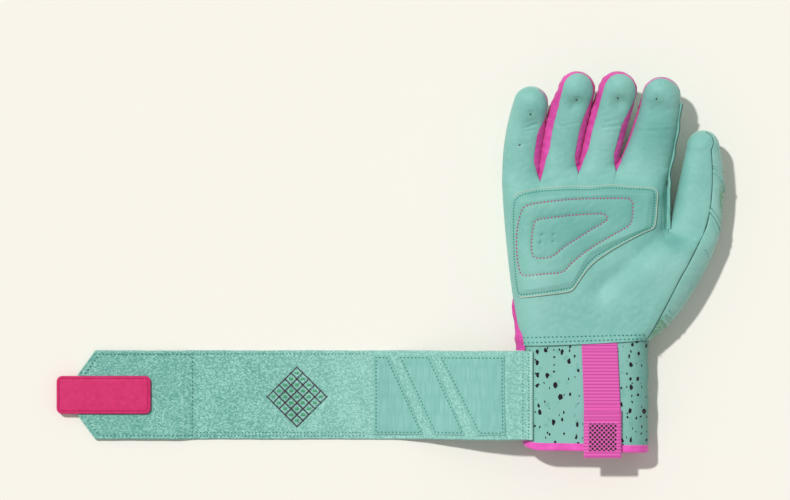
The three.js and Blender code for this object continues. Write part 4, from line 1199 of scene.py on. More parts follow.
PUFF, QUILT, ROW_DENT, EDGE_DENT, VENT_DENT = 0.65, 0.6, 0.25, 0.2, -0.7


def edge_radius(angle, outline_points):
    """Distance from the pad's middle to an outline round it in each direction, read from its own corners."""
    offset = outline_points - PAD_MIDDLE
    at = np.arctan2(offset[:, 1], offset[:, 0])
    order = np.argsort(at)
    return np.interp(angle, at[order], np.hypot(offset[:, 0], offset[:, 1])[order], period=TURN)


def line_distance(x, y, points):
    """Least distance from each plan point to a closed line."""
    ends = zip(points, np.roll(points, -1, axis=0))
    return np.min([segment_distance(x, y, start, end) for start, end in ends], axis=0)


turns = np.linspace(0, TURN, 240, endpoint=False)
rim = edge_radius(turns, PAD_EDGE) - EDGE_ROW_INSET
EDGE_ROW = PAD_MIDDLE + np.stack([np.cos(turns), np.sin(turns)], -1) * rim[:, None]


def pad_lift(x, y):
    """Puff of the foam: a quarter round from the edge row, less a groove along every row of stitches."""
    offset_x, offset_y = x - PAD_MIDDLE[0], y - PAD_MIDDLE[1]
    to_edge = edge_radius(np.arctan2(offset_y, offset_x), PAD_EDGE) - np.hypot(offset_x, offset_y)
    puff = PUFF * roll_off(to_edge - EDGE_ROW_INSET, 4.0) * (to_edge > EDGE_ROW_INSET)
    nearest = np.minimum(line_distance(x, y, OUTER_LOOP), line_distance(x, y, INNER_LOOP))
    quilt = QUILT * roll_off(nearest, 5.0) - ROW_DENT * bell(nearest, 1.1)
    groove = EDGE_DENT * bell(to_edge - EDGE_ROW_INSET, 0.9)
    dents = sum(mound(x, y, vent, VENT_DENT, 0.9) for vent in VENTS)
    return puff + quilt * smooth((to_edge - 3) / 3) - groove + dents


def palm_height(x, y):
    """Height of the palm's skin at plan points."""
    return hand_skin(*hand_shares(x, y))[..., 2]


def palm_surface(x, y):
    """The palm's skin over plan points."""
    return np.stack([x, y, palm_height(x, y)], -1)


def pad_surface(x, y):
    """Top of the pad: the palm's height, the leather's thickness and the puff."""
    return np.stack([x, y, palm_height(x, y) + PAD_SEAT + PAD_LEATHER + pad_lift(x, y)], -1)


def disc_places(outline_points, rings, spokes, crowd=1.0):
    """Plan points of rings from the pad's middle to an outline, closed once round."""
    turn = columns_of(0, TURN, spokes)
    radius = edge_radius(turn, outline_points) * (np.linspace(0, 1, rings) ** crowd)[:, None]
    return PAD_MIDDLE[0] + radius * np.cos(turn), PAD_MIDDLE[1] + radius * np.sin(turn)


def make_pad():
    """The pad's wall between its puffed top and its underside, with its edge slightly turned down."""
    x, y = disc_places(PAD_EDGE, 84, 260, 0.8)
    top = pad_surface(x, y)
    top[-1, :, 2] -= PAD_TURN_DOWN
    bottom = top.copy()
    bottom[..., 2] = np.minimum(palm_height(x, y) + PAD_SEAT, top[..., 2] - 0.5)
    # The pad's points carry painted light and shade.
    return with_value(shell_object("palm_pad_leather", top, bottom), "light_and_shade", painted_light_and_shade)


pad = dress(make_pad(), "pad_leather", "hand", "palm_leather", "palm_pad")
print("palm pad", len(pad.data.polygons), "faces")

# %% [markdown]
# The foam is a thin sheet that nobody sees: it lies between the palm and the pad. The pad's own cut edge is
# paler than its face, because only the face is dyed, so a thin bead of pale leather runs round it, from the
# lower corner by the little finger's side round to the upper one.

# %% Foam sheet and the pad's cut edge
BEAD_START, BEAD_END, BEAD_STEP, BEAD_HALF = (-37.6, 27.4), (-40.4, 84.0), 1.2, (0.34, 0.62)
FOAM_SHARE, FOAM_TOP, FOAM_LOW, FOAM_FILL = 0.8, 0.55, 0.2, 0.6


def sweep_object(name, path, out, up, half_width, half_height, count=10, power=1.0):
    """An oval, squarer when the power is under 1, carried along a path of points and closed at both ends."""
    turn = np.arange(count) / count * TURN
    up = np.broadcast_to(up, path.shape)
    wide = half_width * signed_power(np.cos(turn), power)
    high = half_height * signed_power(np.sin(turn), power)
    rings = path[:, None] + out[:, None] * wide[None, :, None] + up[:, None] * high[None, :, None]
    number = np.arange(len(path) * count).reshape(len(path), count)
    half = count // 2
    caps = [np.stack([ring[:half - 1], ring[1:half], ring[::-1][1:half], ring[::-1][:half - 1]], -1)
            for ring in (number[0], number[-1])]
    quads = np.concatenate([tube_quads(number), caps[0][:, ::-1], caps[1]])
    uv = grid_of(run_along(path)[:, None] / 1000, columns_of(0, 1, count) * 0.01)
    return build_object(name, rings, quads, uv, 50.0)


def make_foam():
    """An even sheet under the puffed part, inside the pad's stitched edge."""
    x, y = disc_places(PAD_MIDDLE + (PAD_EDGE - PAD_MIDDLE) * FOAM_SHARE, 14, 60)
    level = palm_height(x, y)
    top, bottom = (np.stack([x, y, level + lift], -1) for lift in (FOAM_TOP, FOAM_LOW))
    return shell_object("pad_foam_sheet", top, bottom)


foam = dress(make_foam(), "pad_foam", "hand", "pad_foam", "palm_pad_foam")
first, last = (int(np.argmin(np.hypot(*(PAD_EDGE - corner).T))) for corner in (BEAD_START, BEAD_END))
around_edge = np.roll(PAD_EDGE[::-1], first + 1, axis=0)[:(first - last) % len(PAD_EDGE) + 1]
bead_path, bead_along = resample(around_edge, BEAD_STEP)
bead_out = np.column_stack([bead_along[:, 1], -bead_along[:, 0], np.zeros(len(bead_path))])
bead_level = palm_height(*bead_path.T) + PAD_SEAT + PAD_LEATHER / 2
bead = sweep_object("pad_cut_edge", np.column_stack([bead_path, bead_level]) + bead_out * 0.1, bead_out, UP,
                    *BEAD_HALF, 8, 0.8)
dress(bead, "cut_edge", "hand", "palm_leather")
print("foam and cut edge", len(foam.data.polygons), len(bead.data.polygons))

# %% [markdown]
# Stitches are real little capsules of thread. A row is a line in plan: it is cut into even steps, each step
# takes its height and slope from the surface that it is sewn to, and all capsules of a row are one mesh.
# Where an awl went through the leather, small dark ovals are pressed into it.

# %% Rows of stitches and holes on the palm
def surface_frame(surface, points, reach=0.25):
    """Points on a surface over plan points, with unit normals from its slopes in x and y."""
    x, y = points[:, 0], points[:, 1]
    by_x = surface(x + reach, y) - surface(x - reach, y)
    by_y = surface(x, y + reach) - surface(x, y - reach)
    return surface(x, y), unit(np.cross(by_x, by_y))


def sew(name, centres, along, normals, length, radius, thread, body, slot, sink=0.0):
    """Stitches of one thread, dressed."""
    return dress(stitch_object(name, centres, along, normals, length, radius, sink), thread, body, slot)


def sewn_row(name, line, surface, pitch, length, radius, thread, body, slot, closed=False, sink=0.0):
    """A row of stitches along a plan line, lying on a surface. Its measures are in millimetres."""
    points, along = resample(line, pitch, closed)
    centres, normals = surface_frame(surface, points)
    along = np.column_stack([along, np.zeros(len(along))])
    along = unit(along - normals * np.sum(along * normals, -1, keepdims=True))
    return sew(name, centres, along, normals, length, radius, thread, body, slot, sink)


HEM_UPPER, HEM_LOWER = [(-34.5, 4.5), (-1.9, 5.2), (33.5, 6.1)], [(-34.0, 1.5), (-1.9, 2.6), (34.5, 3.9)]
EDGE_STITCH, PAD_STITCH, HEM_STITCH = (1.62, 1.25, 0.42), (2.0, 1.6, 0.42), (2.35, 1.65, 0.38)
PAD_SINK, HEM_SINK = -0.24, -0.22
for name, line, surface, stitch, thread, closed, sink in (
        ("pad_edge_stitches", EDGE_ROW, pad_surface, EDGE_STITCH, "teal_thread", True, PAD_SINK),
        ("pad_outer_stitches", OUTER_LOOP, pad_surface, PAD_STITCH, "pink_thread", True, PAD_SINK),
        ("pad_inner_stitches", INNER_LOOP, pad_surface, PAD_STITCH, "pink_thread", True, PAD_SINK),
        ("hem_upper_stitches", HEM_UPPER, palm_surface, HEM_STITCH, "teal_thread", False, HEM_SINK),
        ("hem_lower_stitches", HEM_LOWER, palm_surface, HEM_STITCH, "teal_thread", False, HEM_SINK)):
    sewn_row(name, line, surface, *stitch, thread, "hand", "palm_leather", closed, sink)

FINGER_HOLES = {"little": [(-30.7, 130.9), (-36.8, 113.7)], "ring": [(-4.8, 139.3)],
                "middle": [(18.7, 140.2)], "index": [(40.4, 139.8)]}
HOLE_SLANT, FRONT_SHARE = 0.3, 0.42


def punch(name, centres, normals, way, sink, length, radius, body):
    """Dark ovals across a direction on the leather, sunk a little."""
    along = unit(np.cross(np.broadcast_to(way, normals.shape), normals))
    return sew(name, centres - normals * sink, along, normals, length, radius, "hole_dark", body,
               "palm_leather")


def front_net(name, rows=200, columns=60):
    """A dense net of points and normals on a finger's front and round its tip, to look places up in."""
    length, tip = rows_of(0.02, 1, rows), rows_of(0, 1, rows)
    side = columns_of(-1, 1, columns)
    t = np.concatenate([length, np.ones_like(tip)])
    turn = np.concatenate([np.where(side < 0, 0.0, 1.0) + 0 * length, tip + 0 * side])
    grid = stall_surface(name, t, turn, np.abs(side) * FRONT_SHARE)
    outward = stall_outward(name, t, grid)
    grid = grid + outward * (front_relief(grid, outward) + 0.06)[..., None]
    return grid.reshape(-1, 3), outward.reshape(-1, 3)


def nearest_places(net, spots):
    """Number of the net's point that is nearest in plan to each spot."""
    offset = net[None, :, :2] - np.asarray(spots, float)[:, None, :2]
    return np.argmin(np.hypot(offset[..., 0], offset[..., 1]), axis=1)


centres, normals = surface_frame(pad_surface, np.array(VENTS))
punch("pad_vents", centres, normals, [np.sin(HOLE_SLANT), -np.cos(HOLE_SLANT), 0.0], 0.12, 1.35, 0.42, "hand")
for name, spots in FINGER_HOLES.items():
    net, outward = front_net(name)
    nearest = nearest_places(net, spots)
    punch(name + "_holes", net[nearest], outward[nearest], [0.3, -0.95, 0.0], 0.05, 1.8, 0.58,
          finger_bend(name))
print("stitches on the palm done")

# %% [markdown]
# The cuff is a flattened tube of speckled fabric, open along the little finger's side, with a smooth
# lining. Round it runs the same section as at the wrist: an oval whose height rises as a quarter round from
# each edge.

# %% Cuff fabric and lining
CUFF_MIDDLE, CUFF_SLIT, CUFF_COUNT = WRIST_HEIGHT / 2, 0.06, 161
HEM_CORNER, HEM_CORNER_X, HEM_CORNER_RADIUS = 5.2, 35.8, 12.0
CUFF_ENDS, CUFF_SKINS, LINING_ENDS, LINING_SKINS = (5.6, -56.2), (1.2, 2.6), (5.0, -56.0), (3.0, 3.6)


def wrist_section(u, side, inset):
    """x and z across the wrist: cosine spacing over, quarter rounds at both edges up or down."""
    half = WRIST_WIDTH / 2 - inset
    x = WRIST_SHIFT - half * np.cos(np.pi * u)
    rise = (CUFF_MIDDLE - inset) * roll_off(half - np.abs(x - WRIST_SHIFT), WRIST_ROLL - inset)
    return x, CUFF_MIDDLE + side * rise


def cuff_surface(round_share, y, inset=0.0):
    """A point of the cuff, once round from the slit over the palm side and back under it: the section, a soft
    drape and a wavy right edge."""
    over, under = np.linspace(CUFF_SLIT, 1.0, CUFF_COUNT), np.linspace(1.0, CUFF_SLIT, CUFF_COUNT)[1:]
    side = np.repeat([1.0, -1.0], [len(over), len(under)])
    x_line, z_line = wrist_section(np.concatenate([over, under]), side, inset)
    at = np.linspace(0, 1, len(x_line))
    x, z = np.interp(round_share, at, x_line), np.interp(round_share, at, z_line)
    x = x + smooth((x - 28) / 9) * (0.25 * np.sin(y * 0.35 + 0.8) - 0.15)
    drape = 0.25 * np.sin(x * 0.16 + y * 0.05 + 1.0) + 0.18 * np.sin(x * 0.07 - y * 0.13)
    return grid_of(x, y, z + smooth((z - 18) / 5) * (drape - 0.1))


def hem_lift(share, low_y, inset):
    """The lower hem is rounded at the open corner and runs slightly downhill towards the thumb."""
    x = cuff_surface(share, low_y + 0 * share, inset)[..., 0]
    return HEM_CORNER * (1 - roll_off(x + HEM_CORNER_X, HEM_CORNER_RADIUS)) - 1.3 * smooth((x + 20) / 55)


def cuff_wall(name, top_y, low_y, outside, inside, columns, rows):
    """A wall of the cuff between two insets, from its top edge down to the rounded and slanted hem."""
    share = columns_of(0, 1, columns)
    down = rows_of(0, 1, rows)
    outer, inner = (cuff_surface(share, top_y + (low_y + hem_lift(share, low_y, inset) - top_y) * down, inset)
                    for inset in (outside, inside))
    return shell_object(name, outer, inner)


cuff = dress(cuff_wall("cuff_fabric", *CUFF_ENDS, *CUFF_SKINS, 220, 60), "cuff_fabric", "hand", "cuff_fabric",
             "cuff_panel")
dress(cuff_wall("cuff_lining_knit", *LINING_ENDS, *LINING_SKINS, 160, 40), "lining_knit", "hand",
      "cuff_lining", "cuff_lining")

# %% [markdown]
# The binding is a strip of pink knit folded over the cuff's lower edge. In section it is a flat loop: round
# below, flat on both faces, with a shallow dent along the row where it is sewn.

# %% Binding
BINDING_TOP, BINDING_LOW, BINDING_SEAM = -55.1, -59.7, -56.9


def make_binding(columns=260, count=32):
    """Section of the folded strip carried round the cuff: a rounded slot from face to face, closed."""
    share, turn = np.linspace(0, 1, columns), np.linspace(0, 1, count)[:-1] * TURN
    middle, half = (BINDING_TOP + BINDING_LOW) / 2, (BINDING_TOP - BINDING_LOW) / 2
    along_y = middle + half * signed_power(np.cos(turn), 0.6)
    inset = 2.3 - 1.5 * signed_power(np.sin(turn), 0.55)
    dent = 0.35 * bell(along_y - BINDING_SEAM, 0.45) * np.sign(np.sin(turn))
    lift = hem_lift(share, BINDING_LOW, 1.2)
    grid = np.array([cuff_surface(share, y + lift, amount) for y, amount in zip(along_y, inset + dent)])
    number = np.arange(grid[..., 0].size).reshape(grid.shape[:2])
    near, far = np.arange(len(grid) // 2), np.arange(1, len(grid) // 2 + 1)
    caps = [np.stack([number[near, end], number[far, end], number[-far % len(grid), end],
                      number[-near % len(grid), end]], -1) for end in (0, -1)]
    wall = grid_quads(np.vstack([number, number[:1]]))[:, [0, 3, 2, 1]]
    quads = np.concatenate([wall, caps[0], caps[1][:, ::-1]])
    uv = grid_of(columns_of(0, 0.2, columns), rows_of(0, 0.012, len(grid)))
    return build_object("cuff_binding_knit", grid, quads, uv, 60)


binding = dress(make_binding(), "pink_binding", "hand", "pink_binding", "cuff_binding")
print("cuff", len(cuff.data.polygons), "binding", len(binding.data.polygons))

# %% [markdown]
# A pink ribbed webbing comes out from under the palm's hem, is sewn down on the cuff and ends in a free
# folded loop to pull the glove on by. Its ribs run across it. A flat square of the loop is printed with
# plain dots.

# %% Pull tab
WEBBING_BASE, WEBBING_START, WEBBING_END = 25.15, 2.4, -36.6
LOOP_MIDDLE, LOOP_TOP, LOOP_LOW, LOOP_START, LOOP_END = 26.85, -36.35, -63.95, -36.4, -63.9
TACK_LINE, TACK_PITCH, TACK_HEIGHT, TACK_LEAN = [(0.7, -37.7), (19.7, -37.8)], 1.35, 28.3, (0.75, 0.66)


def webbing_rib(y, phase=0.0, power=1.0):
    """Rounded ridges along the webbing: the size of a sine over the rib's pitch."""
    return np.abs(np.sin(np.pi * y / WEBBING_RIB + phase)) ** power


def across_strip(across, half, edge):
    """Flat across a strip, falling as a quarter round over its edges."""
    return roll_off(half - np.abs(across), edge)


def strip_object(name, x, y, top, low):
    """A flat wall between a top and a low height over plan places."""
    top, low = (grid_of(x, y, level) for level in (top, low))
    return shell_object(name, top, low, 60)


def make_webbing():
    """The sewn run of the webbing: from under the hem down to the loop."""
    y, share = rows_of(WEBBING_START, WEBBING_END, 300), columns_of(-1, 1, 60)
    left = mix(-0.3, -1.75, (y + 37) / 38) + 0.12 * webbing_rib(y)
    right = mix(20.6, 18.8, (y + 37) / 38) - 0.12 * webbing_rib(y, 1.5)
    middle, half = (left + right) / 2, (right - left) / 2
    x = middle + half * np.sin(share * np.pi / 2)
    ribs = 0.85 + 0.2 * webbing_rib(y, power=0.7)
    top = 0.1 + WEBBING_BASE + ribs * across_strip(x - middle, half + 0.02, 0.8) ** 0.7
    seam = 0.45 * bell(y + 34.4, 0.9) + 0.25 * bell(y + 3.2, 0.7)
    top = top - smooth((y + 2.0) / 3.0) * 0.9 - seam * across_strip(x - middle, half, 3.0)
    return strip_object("pull_tab_webbing_strip", x, y, top, np.minimum(WEBBING_BASE - 0.2, top - 0.3))


def make_loop():
    """Two layers of the webbing pressed flat, with a fold at the free end and a small roll at the root."""
    y, share = rows_of(LOOP_START, LOOP_END, 220), columns_of(-1, 1, 60)
    left, right = -0.5 + 0.05 * np.sin(y * 2.9), 20.9 + 0.08 * np.sin(y * 2.9 + 1.0)
    middle, half = (left + right) / 2, (right - left) / 2
    x = middle + half * share
    ends = roll_off(y - LOOP_LOW, 1.6) * roll_off(LOOP_TOP - y, 1.4)
    swell = 1.4 * ends * (0.75 + 0.25 * across_strip(x - middle, half, 4.0))
    cover = smooth((9.0 - np.abs(x - middle)) / 0.4) * smooth((8.3 - np.abs(y - PRINT_Y)) / 0.4)
    rib = (0.2 * webbing_rib(y, power=0.7)) * (1 - cover) + 0.3 * cover
    fold = 0.4 * bell(y + 42.2, 0.8)
    edge = across_strip(x - middle, half + 0.02, 1.2) ** 0.6
    low = LOOP_MIDDLE - (1.3 * ends) * edge
    top = np.maximum(LOOP_MIDDLE + (swell + rib * ends - fold) * edge, low + 0.1)
    return strip_object("pull_loop_fold", x, y, top, low)


webbing = dress(make_webbing(), "pink_webbing", "hand", "pink_webbing", "pull_tab_webbing")
loop = dress(make_loop(), "dotted_webbing", "pull_loop", "pink_webbing", "pull_tab_loop")
tack = resample(TACK_LINE, TACK_PITCH)[0]
zigzag = grid_of(np.where(np.arange(len(tack)) % 2, 1, -1) * TACK_LEAN[0], TACK_LEAN[1], 0.0)
sew("pull_tab_tack_stitches", grid_of(*tack.T, TACK_HEIGHT), zigzag, UP, 1.7, 0.26, "rose_thread",
    "pull_loop", "pink_webbing")
print("webbing", len(webbing.data.polygons), "loop", len(loop.data.polygons))

# %% [markdown]
# Seams close the glove's outer side. A dark strip of painted shadow lies in the seam from the thumb's tip
# # down to the wrist, and a narrow piped seam with a wavy edge runs down the index finger's outer side to the
# # crotch of the thumb, with another strip of painted shadow just inside it.

# %% Outer seams
def thumb_seam_path():
    """Points along the thumb's seam, from the tip down the stall, and on down the hand to the wrist."""
    t = np.concatenate([np.ones(24), np.linspace(1, 0.02, 90)[1:]])
    turn = np.concatenate([np.linspace(0.55, 1.0, 24), np.ones(89)])
    on_stall = stall_surface("thumb", t, turn, front_seam("thumb", t, turn), 0.2)
    v = np.linspace(PALM_TOP, 0.03, 120)
    on_hand = hem_shift(hand_point(thenar_seam(v), v, 1), v) - [0, 0, 0.15]
    return smooth_outline(np.concatenate([on_stall, on_hand]), 1, False)


def index_side_path():
    """Just outside the index finger's outer side from its bulb to its root, then down the palm's side."""
    t = np.linspace(0.97, 0.03, 60)
    on_stall = stall_surface("index", t, np.ones(60), np.full(60, 0.44), -0.25)
    share = np.linspace(0.03, 0.97, 20)
    on_hand = mix(ROOTS[SIDE_SEGMENT], ROOTS[SIDE_SEGMENT + 1], share[:, None]) + [0.25, 0]
    on_hand = np.column_stack([on_hand, np.linspace(18.2, 19.6, 20) + 4.4 * smooth((share - 0.7) / 0.3)])
    path = smooth_outline(np.concatenate([on_stall, on_hand]), 2, False)
    path[:, 0] += 0.3 * np.sin(path[:, 1] * 0.42 + 0.6) * smooth((path[:, 1] - 84) / 8) + 0.2
    return path


def follow(path, step_length):
    """Evenly spaced points of a path with unit out and up directions for a profile."""
    points, along = resample(path, step_length)
    out = unit(np.cross(along, np.broadcast_to(UP, points.shape)))
    return points, out, unit(np.cross(out, along))


# A strip of painted shadow in the thumb's seam.
line, out, up = follow(thumb_seam_path(), 1.2)
piece = sweep_object("thumb_seam_shadow_strip", line, out, up, 0.30, 0.26, 8)
dress(piece, "seam_shadow", finger_bend("thumb"), "palm_leather")
line, out, up = follow(index_side_path(), 0.8)
piece = sweep_object("index_side_seam", line, out, up, 0.85, 0.7, 10, 0.9)
dress(piece, "pad_leather", finger_bend("index"), "palm_leather")
# A strip of painted shadow just inside the piped seam.
piece = sweep_object("index_seam_shadow_strip", line - out * 0.75 + up * 0.45, out, up, 0.3, 0.3, 8)
dress(piece, "seam_shadow", finger_bend("index"), "back_leather")
for side, upper_x, lower_x in (("left", 43.6, 43.4), ("right", 45.4, 45.2)):
    sewn_row("notch_row_" + side, [(upper_x, 79.5), (lower_x, 66.5)], palm_surface, 1.7, 1.2, 0.3,
             "teal_thread", "hand", "palm_leather", sink=-0.15)

# %% [markdown]
# On its outer side the thumb carries narrow raised bands that cross the leather, and rows of stitches
# beside them. Each is laid on the nearest places of the thumb's and the hand's own surface.

# %% Bands on the thumb's outer side
def outer_side_net():
    """A dense net of the outer side: the stall from its seam down, then the hand from its seam out."""
    t, around = rows_of(0, 1, 220), columns_of(0.1, 0.6, 60)
    stall = stall_surface("thumb", t, 1.0, around)
    v, share = rows_of(0, 1, 220), columns_of(0, 1, 60)
    hand = hem_shift(hand_point(mix(thenar_seam(v), 1.0, share), v, 1), v + 0 * share)
    lift = np.broadcast_to(unit(np.array([0.35, -0.1, 1.0])), hand.shape)
    return (np.concatenate([stall.reshape(-1, 3), hand.reshape(-1, 3)]),
            np.concatenate([stall_outward("thumb", t, stall).reshape(-1, 3), lift.reshape(-1, 3)]))


NET, NET_NORMALS = outer_side_net()
BAND_LIFT, ROW_LIFT, BAND_STEP, ROW_PITCH = 0.22, 0.14, 0.6, 1.3
OUTER_LINES = {
    "band_upper": [(73.0, 98.5), (75.8, 97.0), (78.1, 94.2), (79.5, 90.7), (80.1, 86.8)],
    "band_lower": [(71.0, 77.0), (74.6, 72.5), (77.2, 66.4)],
    "band_lowest": [(71.0, 73.9), (74.4, 69.0), (76.4, 62.8)],
    "band_wrist": [(47.0, 18.6), (51.2, 14.6)], "band_hem": [(44.6, 15.4), (49.0, 10.2)],
    "row_upper_first": [(73.0, 101.6), (78.4, 100.2)], "row_upper_second": [(73.0, 100.2), (78.6, 98.6)],
    "row_lower_first": [(71.2, 78.6), (74.8, 74.8), (77.6, 69.8)],
    "row_lower_middle": [(71.2, 75.4), (74.6, 70.8), (76.8, 64.4)],
    "row_rib": [(68.7, 54.2), (71.8, 47.3)], "row_wrist_first": [(47.9, 19.8), (52.2, 15.8)],
    "row_wrist_second": [(45.8, 17.0), (50.2, 12.4)], "row_hem_first": [(43.4, 13.8), (47.6, 8.8)]}


def on_outer_side(places, step_length):
    """The places of the net that are nearest to a plan line, evened out, with their normals."""
    spots, _ = resample(smooth_outline(places, 2, False), step_length)
    nearest = nearest_places(NET, spots)
    points, normals = NET[nearest], NET_NORMALS[nearest]
    for _ in range(3):
        points[1:-1] = (points[:-2] + 2 * points[1:-1] + points[2:]) / 4
    along = unit(np.gradient(points, axis=0))
    return points, along, unit(np.cross(along, normals)), normals


for name, places in OUTER_LINES.items():
    body = "hand" if any(word in name for word in ("wrist", "hem", "rib")) else finger_bend("thumb")
    points, along, out, up = on_outer_side(places, BAND_STEP if "band" in name else ROW_PITCH)
    if "band" in name:
        band = sweep_object("thumb_" + name, points + up * BAND_LIFT, out, up, 0.85, 0.6, 10, 0.7)
        dress(band, "back_leather", body, "back_leather")
    else:
        sew("thumb_" + name, points + up * ROW_LIFT, along, up, 1.0, 0.33, "teal_thread", body,
            "back_leather")
print("outer seams done")

# %% [markdown]
# The strap is one wide band that lies flat to the left of the glove and climbs onto the cuff. It moves in
# # four runs, so it is made as four pieces that meet exactly. All of them follow the same profile along the
# # strap: flat on the table, then rising by a smooth step to the cuff's top.

# %% Strap
STRAP_X, STRAP_Y, STRAP_HALF, STRAP_THICK = -37.6, -28.5, 25.4, 2.0
FOLD_RUN, TIP_RUN, POINT_RUN, END_RUN, TIP_HALF, FALL_RUN = 87.0, 184.0, 241.0, 251.0, 11.6, 76.0
ROOT_UNDERSIDE = wrist_section(0.18, 1, 1.2)[1] + 0.3
STRAP_COLUMNS, STRAP_CROWD, BEND_RUN, STRAP_LEAST, PATCH_LEAST = 72, 0.8, 6.0, 0.12, 0.1
NEAR_ROW, FAR_ROW, END_ROW = 23.6, 23.4, 23.2


def underside(run):
    """Height of the strap's underside: a smooth step down from the cuff, then a small step up at the end."""
    return ROOT_UNDERSIDE * (1 - smooth(run / FALL_RUN)) + 1.4 * smooth((run - TIP_RUN) / 10)


def half_width(run):
    """Half the strap's width: even, then straight to the blunt point."""
    return np.interp(run, [0, POINT_RUN, END_RUN], [STRAP_HALF, STRAP_HALF, TIP_HALF])


def strap_point(run, share, lift=0.0):
    """Plan place and height on the strap: share -1 to 1 across it, lift above its underside. The woven edges
    have small waves."""
    side = np.sign(share)
    wave = 0.08 * np.sin(run * 0.11 + side) + 0.05 * np.sin(run * 0.37 + 2 * side)
    y = STRAP_Y + share * (half_width(run) + wave * np.abs(share))
    return grid_of(STRAP_X - run, y, underside(run) + lift)


def strap_wall(name, run, share, top, low, least):
    """Closed wall between two heights above the strap's underside, nowhere thinner than the least."""
    upper, lower = (strap_point(run, share, lift) for lift in (np.maximum(top, low + least), low))
    return shell_object(name, upper, lower, 60)


def strap_top(run, share, thickness):
    """Height above the underside: full thickness, rolling off over both edges, faintly cupped."""
    soft = 0.12 * np.sin(run * 0.09 + share * 2.0) + 0.08 * np.sin(run * 0.23 - share * 3.0)
    to_edge = half_width(run) - np.abs(share) * half_width(run)
    return (thickness + soft * smooth((1 - np.abs(share)) * 4)) * roll_off(to_edge, 0.9) ** 0.8


def near_relief(run, share):
    """Rows of stitching draw the near run down along its borders."""
    across = np.abs(share) * half_width(run)
    return -0.2 * bell(across - NEAR_ROW, 0.5) * (run < FOLD_RUN - 1)


def far_relief(run, share):
    """Shallow grooves under the rows of stitches along both edges."""
    return -0.12 * bell(np.abs(share) * half_width(run) - FAR_ROW, 0.7)


def end_relief(run, share):
    """The end panel is bound: a raised rim inside which the face lies lower."""
    to_edge = np.minimum(half_width(run) - np.abs(share) * half_width(run), END_RUN - run)
    return 0.25 * roll_off(2.2 - to_edge, 2.0) - 0.25 * bell(to_edge - 2.2, 0.45)


def no_relief(run, share):
    """A plain face."""
    return 0.0 * share


def strap_bend(parent, body, start):
    """The bend of a strap piece from its parent run to its own, over a short way along the strap."""
    ends = [place([STRAP_X - at, STRAP_Y, underside(at) + 1.0]) for at in (start, max(start, 1.0) + BEND_RUN)]
    return parent, body, tuple(ends[0]), tuple(ends[1])


NEAR_BEND = strap_bend("hand", "strap_near", 0.5)
FAR_BEND = strap_bend("strap_near", "strap_far", FOLD_RUN)
TIP_BEND = strap_bend("strap_far", "strap_tip", TIP_RUN)
for name, start, end, thickness, rows, body, node, relief in (
        ("strap_sewn_end", -8.6, 0.6, 2.2, 26, "hand", "strap_anchor", no_relief),
        ("strap_near_elastic", 0.0, FOLD_RUN, STRAP_THICK, 180, NEAR_BEND, "strap_near", near_relief),
        ("strap_far_elastic", FOLD_RUN, TIP_RUN, STRAP_THICK, 180, FAR_BEND, "strap_far", far_relief),
        ("strap_end_panel", TIP_RUN, END_RUN, 2.1, 190, TIP_BEND, "strap_tip", end_relief)):
    share = signed_power(columns_of(-1, 1, STRAP_COLUMNS), STRAP_CROWD)
    run, share = np.broadcast_arrays(rows_of(start, end, rows), share)
    top = strap_top(run, share, thickness) + relief(run, share)
    if name == "strap_sewn_end":
        top = top * roll_off(run - start, 0.9)
    if name == "strap_end_panel":
        top = top * roll_off(end - run, 1.2)
    piece = strap_wall(name, run, share, np.maximum(top, 0.0), 0.0, STRAP_LEAST)
    print(name, len(dress(piece, "strap_elastic", body, "strap_elastic", node).data.polygons))

# %% [markdown]
# Three slanted patches of loop fastener are sewn on the near run, and one long hook patch lies under the
# end panel. Their pile and hooks are far finer than a stitch, so their material carries them.

# %% Fastener patches
PATCHES = {"loop_patch_1": [(0.055, 0.158), (0.055, 0.382)], "loop_patch_2": [(0.216, 0.430), (0.444, 0.654)],
           "loop_patch_3": [(0.484, 0.911), (0.732, 0.916)]}
PATCH_HALF, PATCH_ROW, PATCH_SEAT = 22.8, 1.5, 0.1
HOOK_START, HOOK_END, HOOK_TAPER, HOOK_HALF, HOOK_THICK = 194, 245, 238, 19.4, 1.2


def patch_piece(name, upper, lower, rows=60, columns=60):
    """The patch, given by the shares of its left and right ends along both edges: its face rolls over its
    four edges and is drawn down along the stitched border."""
    down, along = rows_of(1, -1, rows), columns_of(0, 1, columns)
    left, right = (mix(low, high, (down + 1) / 2) for low, high in zip(lower, upper))
    run = FOLD_RUN * (1 - mix(left, right, along))
    across = down * PATCH_HALF / STRAP_HALF * np.ones(run.shape)
    width = FOLD_RUN * (mix(lower[1] - lower[0], upper[1] - upper[0], (down + 1) / 2))
    to_edge = np.minimum(np.minimum(along, 1 - along) * width, (1 - np.abs(down)) * PATCH_HALF)
    lift = STRAP_THICK + 0.2 + 0.5 * roll_off(to_edge, 0.8) - 0.2 * bell(to_edge - PATCH_ROW, 0.4)
    return strap_wall(name, run, across, lift, STRAP_THICK + PATCH_SEAT, PATCH_LEAST)


def hook_piece():
    """The hook patch under the end panel, flat on the table."""
    x = rows_of(STRAP_X - HOOK_START, STRAP_X - HOOK_END, 60)
    y = STRAP_Y + columns_of(-1, 1, 50) * (HOOK_HALF - 1.2 * smooth((STRAP_X - HOOK_TAPER - x) / 6))
    return strip_object("hook_patch_tape", x, y, HOOK_THICK, 0.0)


for name, (upper, lower) in PATCHES.items():
    body = NEAR_BEND if name == "loop_patch_3" else "strap_near"
    dress(patch_piece(name + "_pile", upper, lower), "loop_pile", body, "loop_fastener", name)
dress(hook_piece(), "hook_tape", "strap_tip", "hook_fastener", "hook_patch")

# %% [markdown]
# The tag is a moulded rubber plate with rounded corners: a flat face, a shallow channel near its edge for
# the stitches, and a rounded rim. It is a disc of rings, from its middle out to a rounded rectangle.

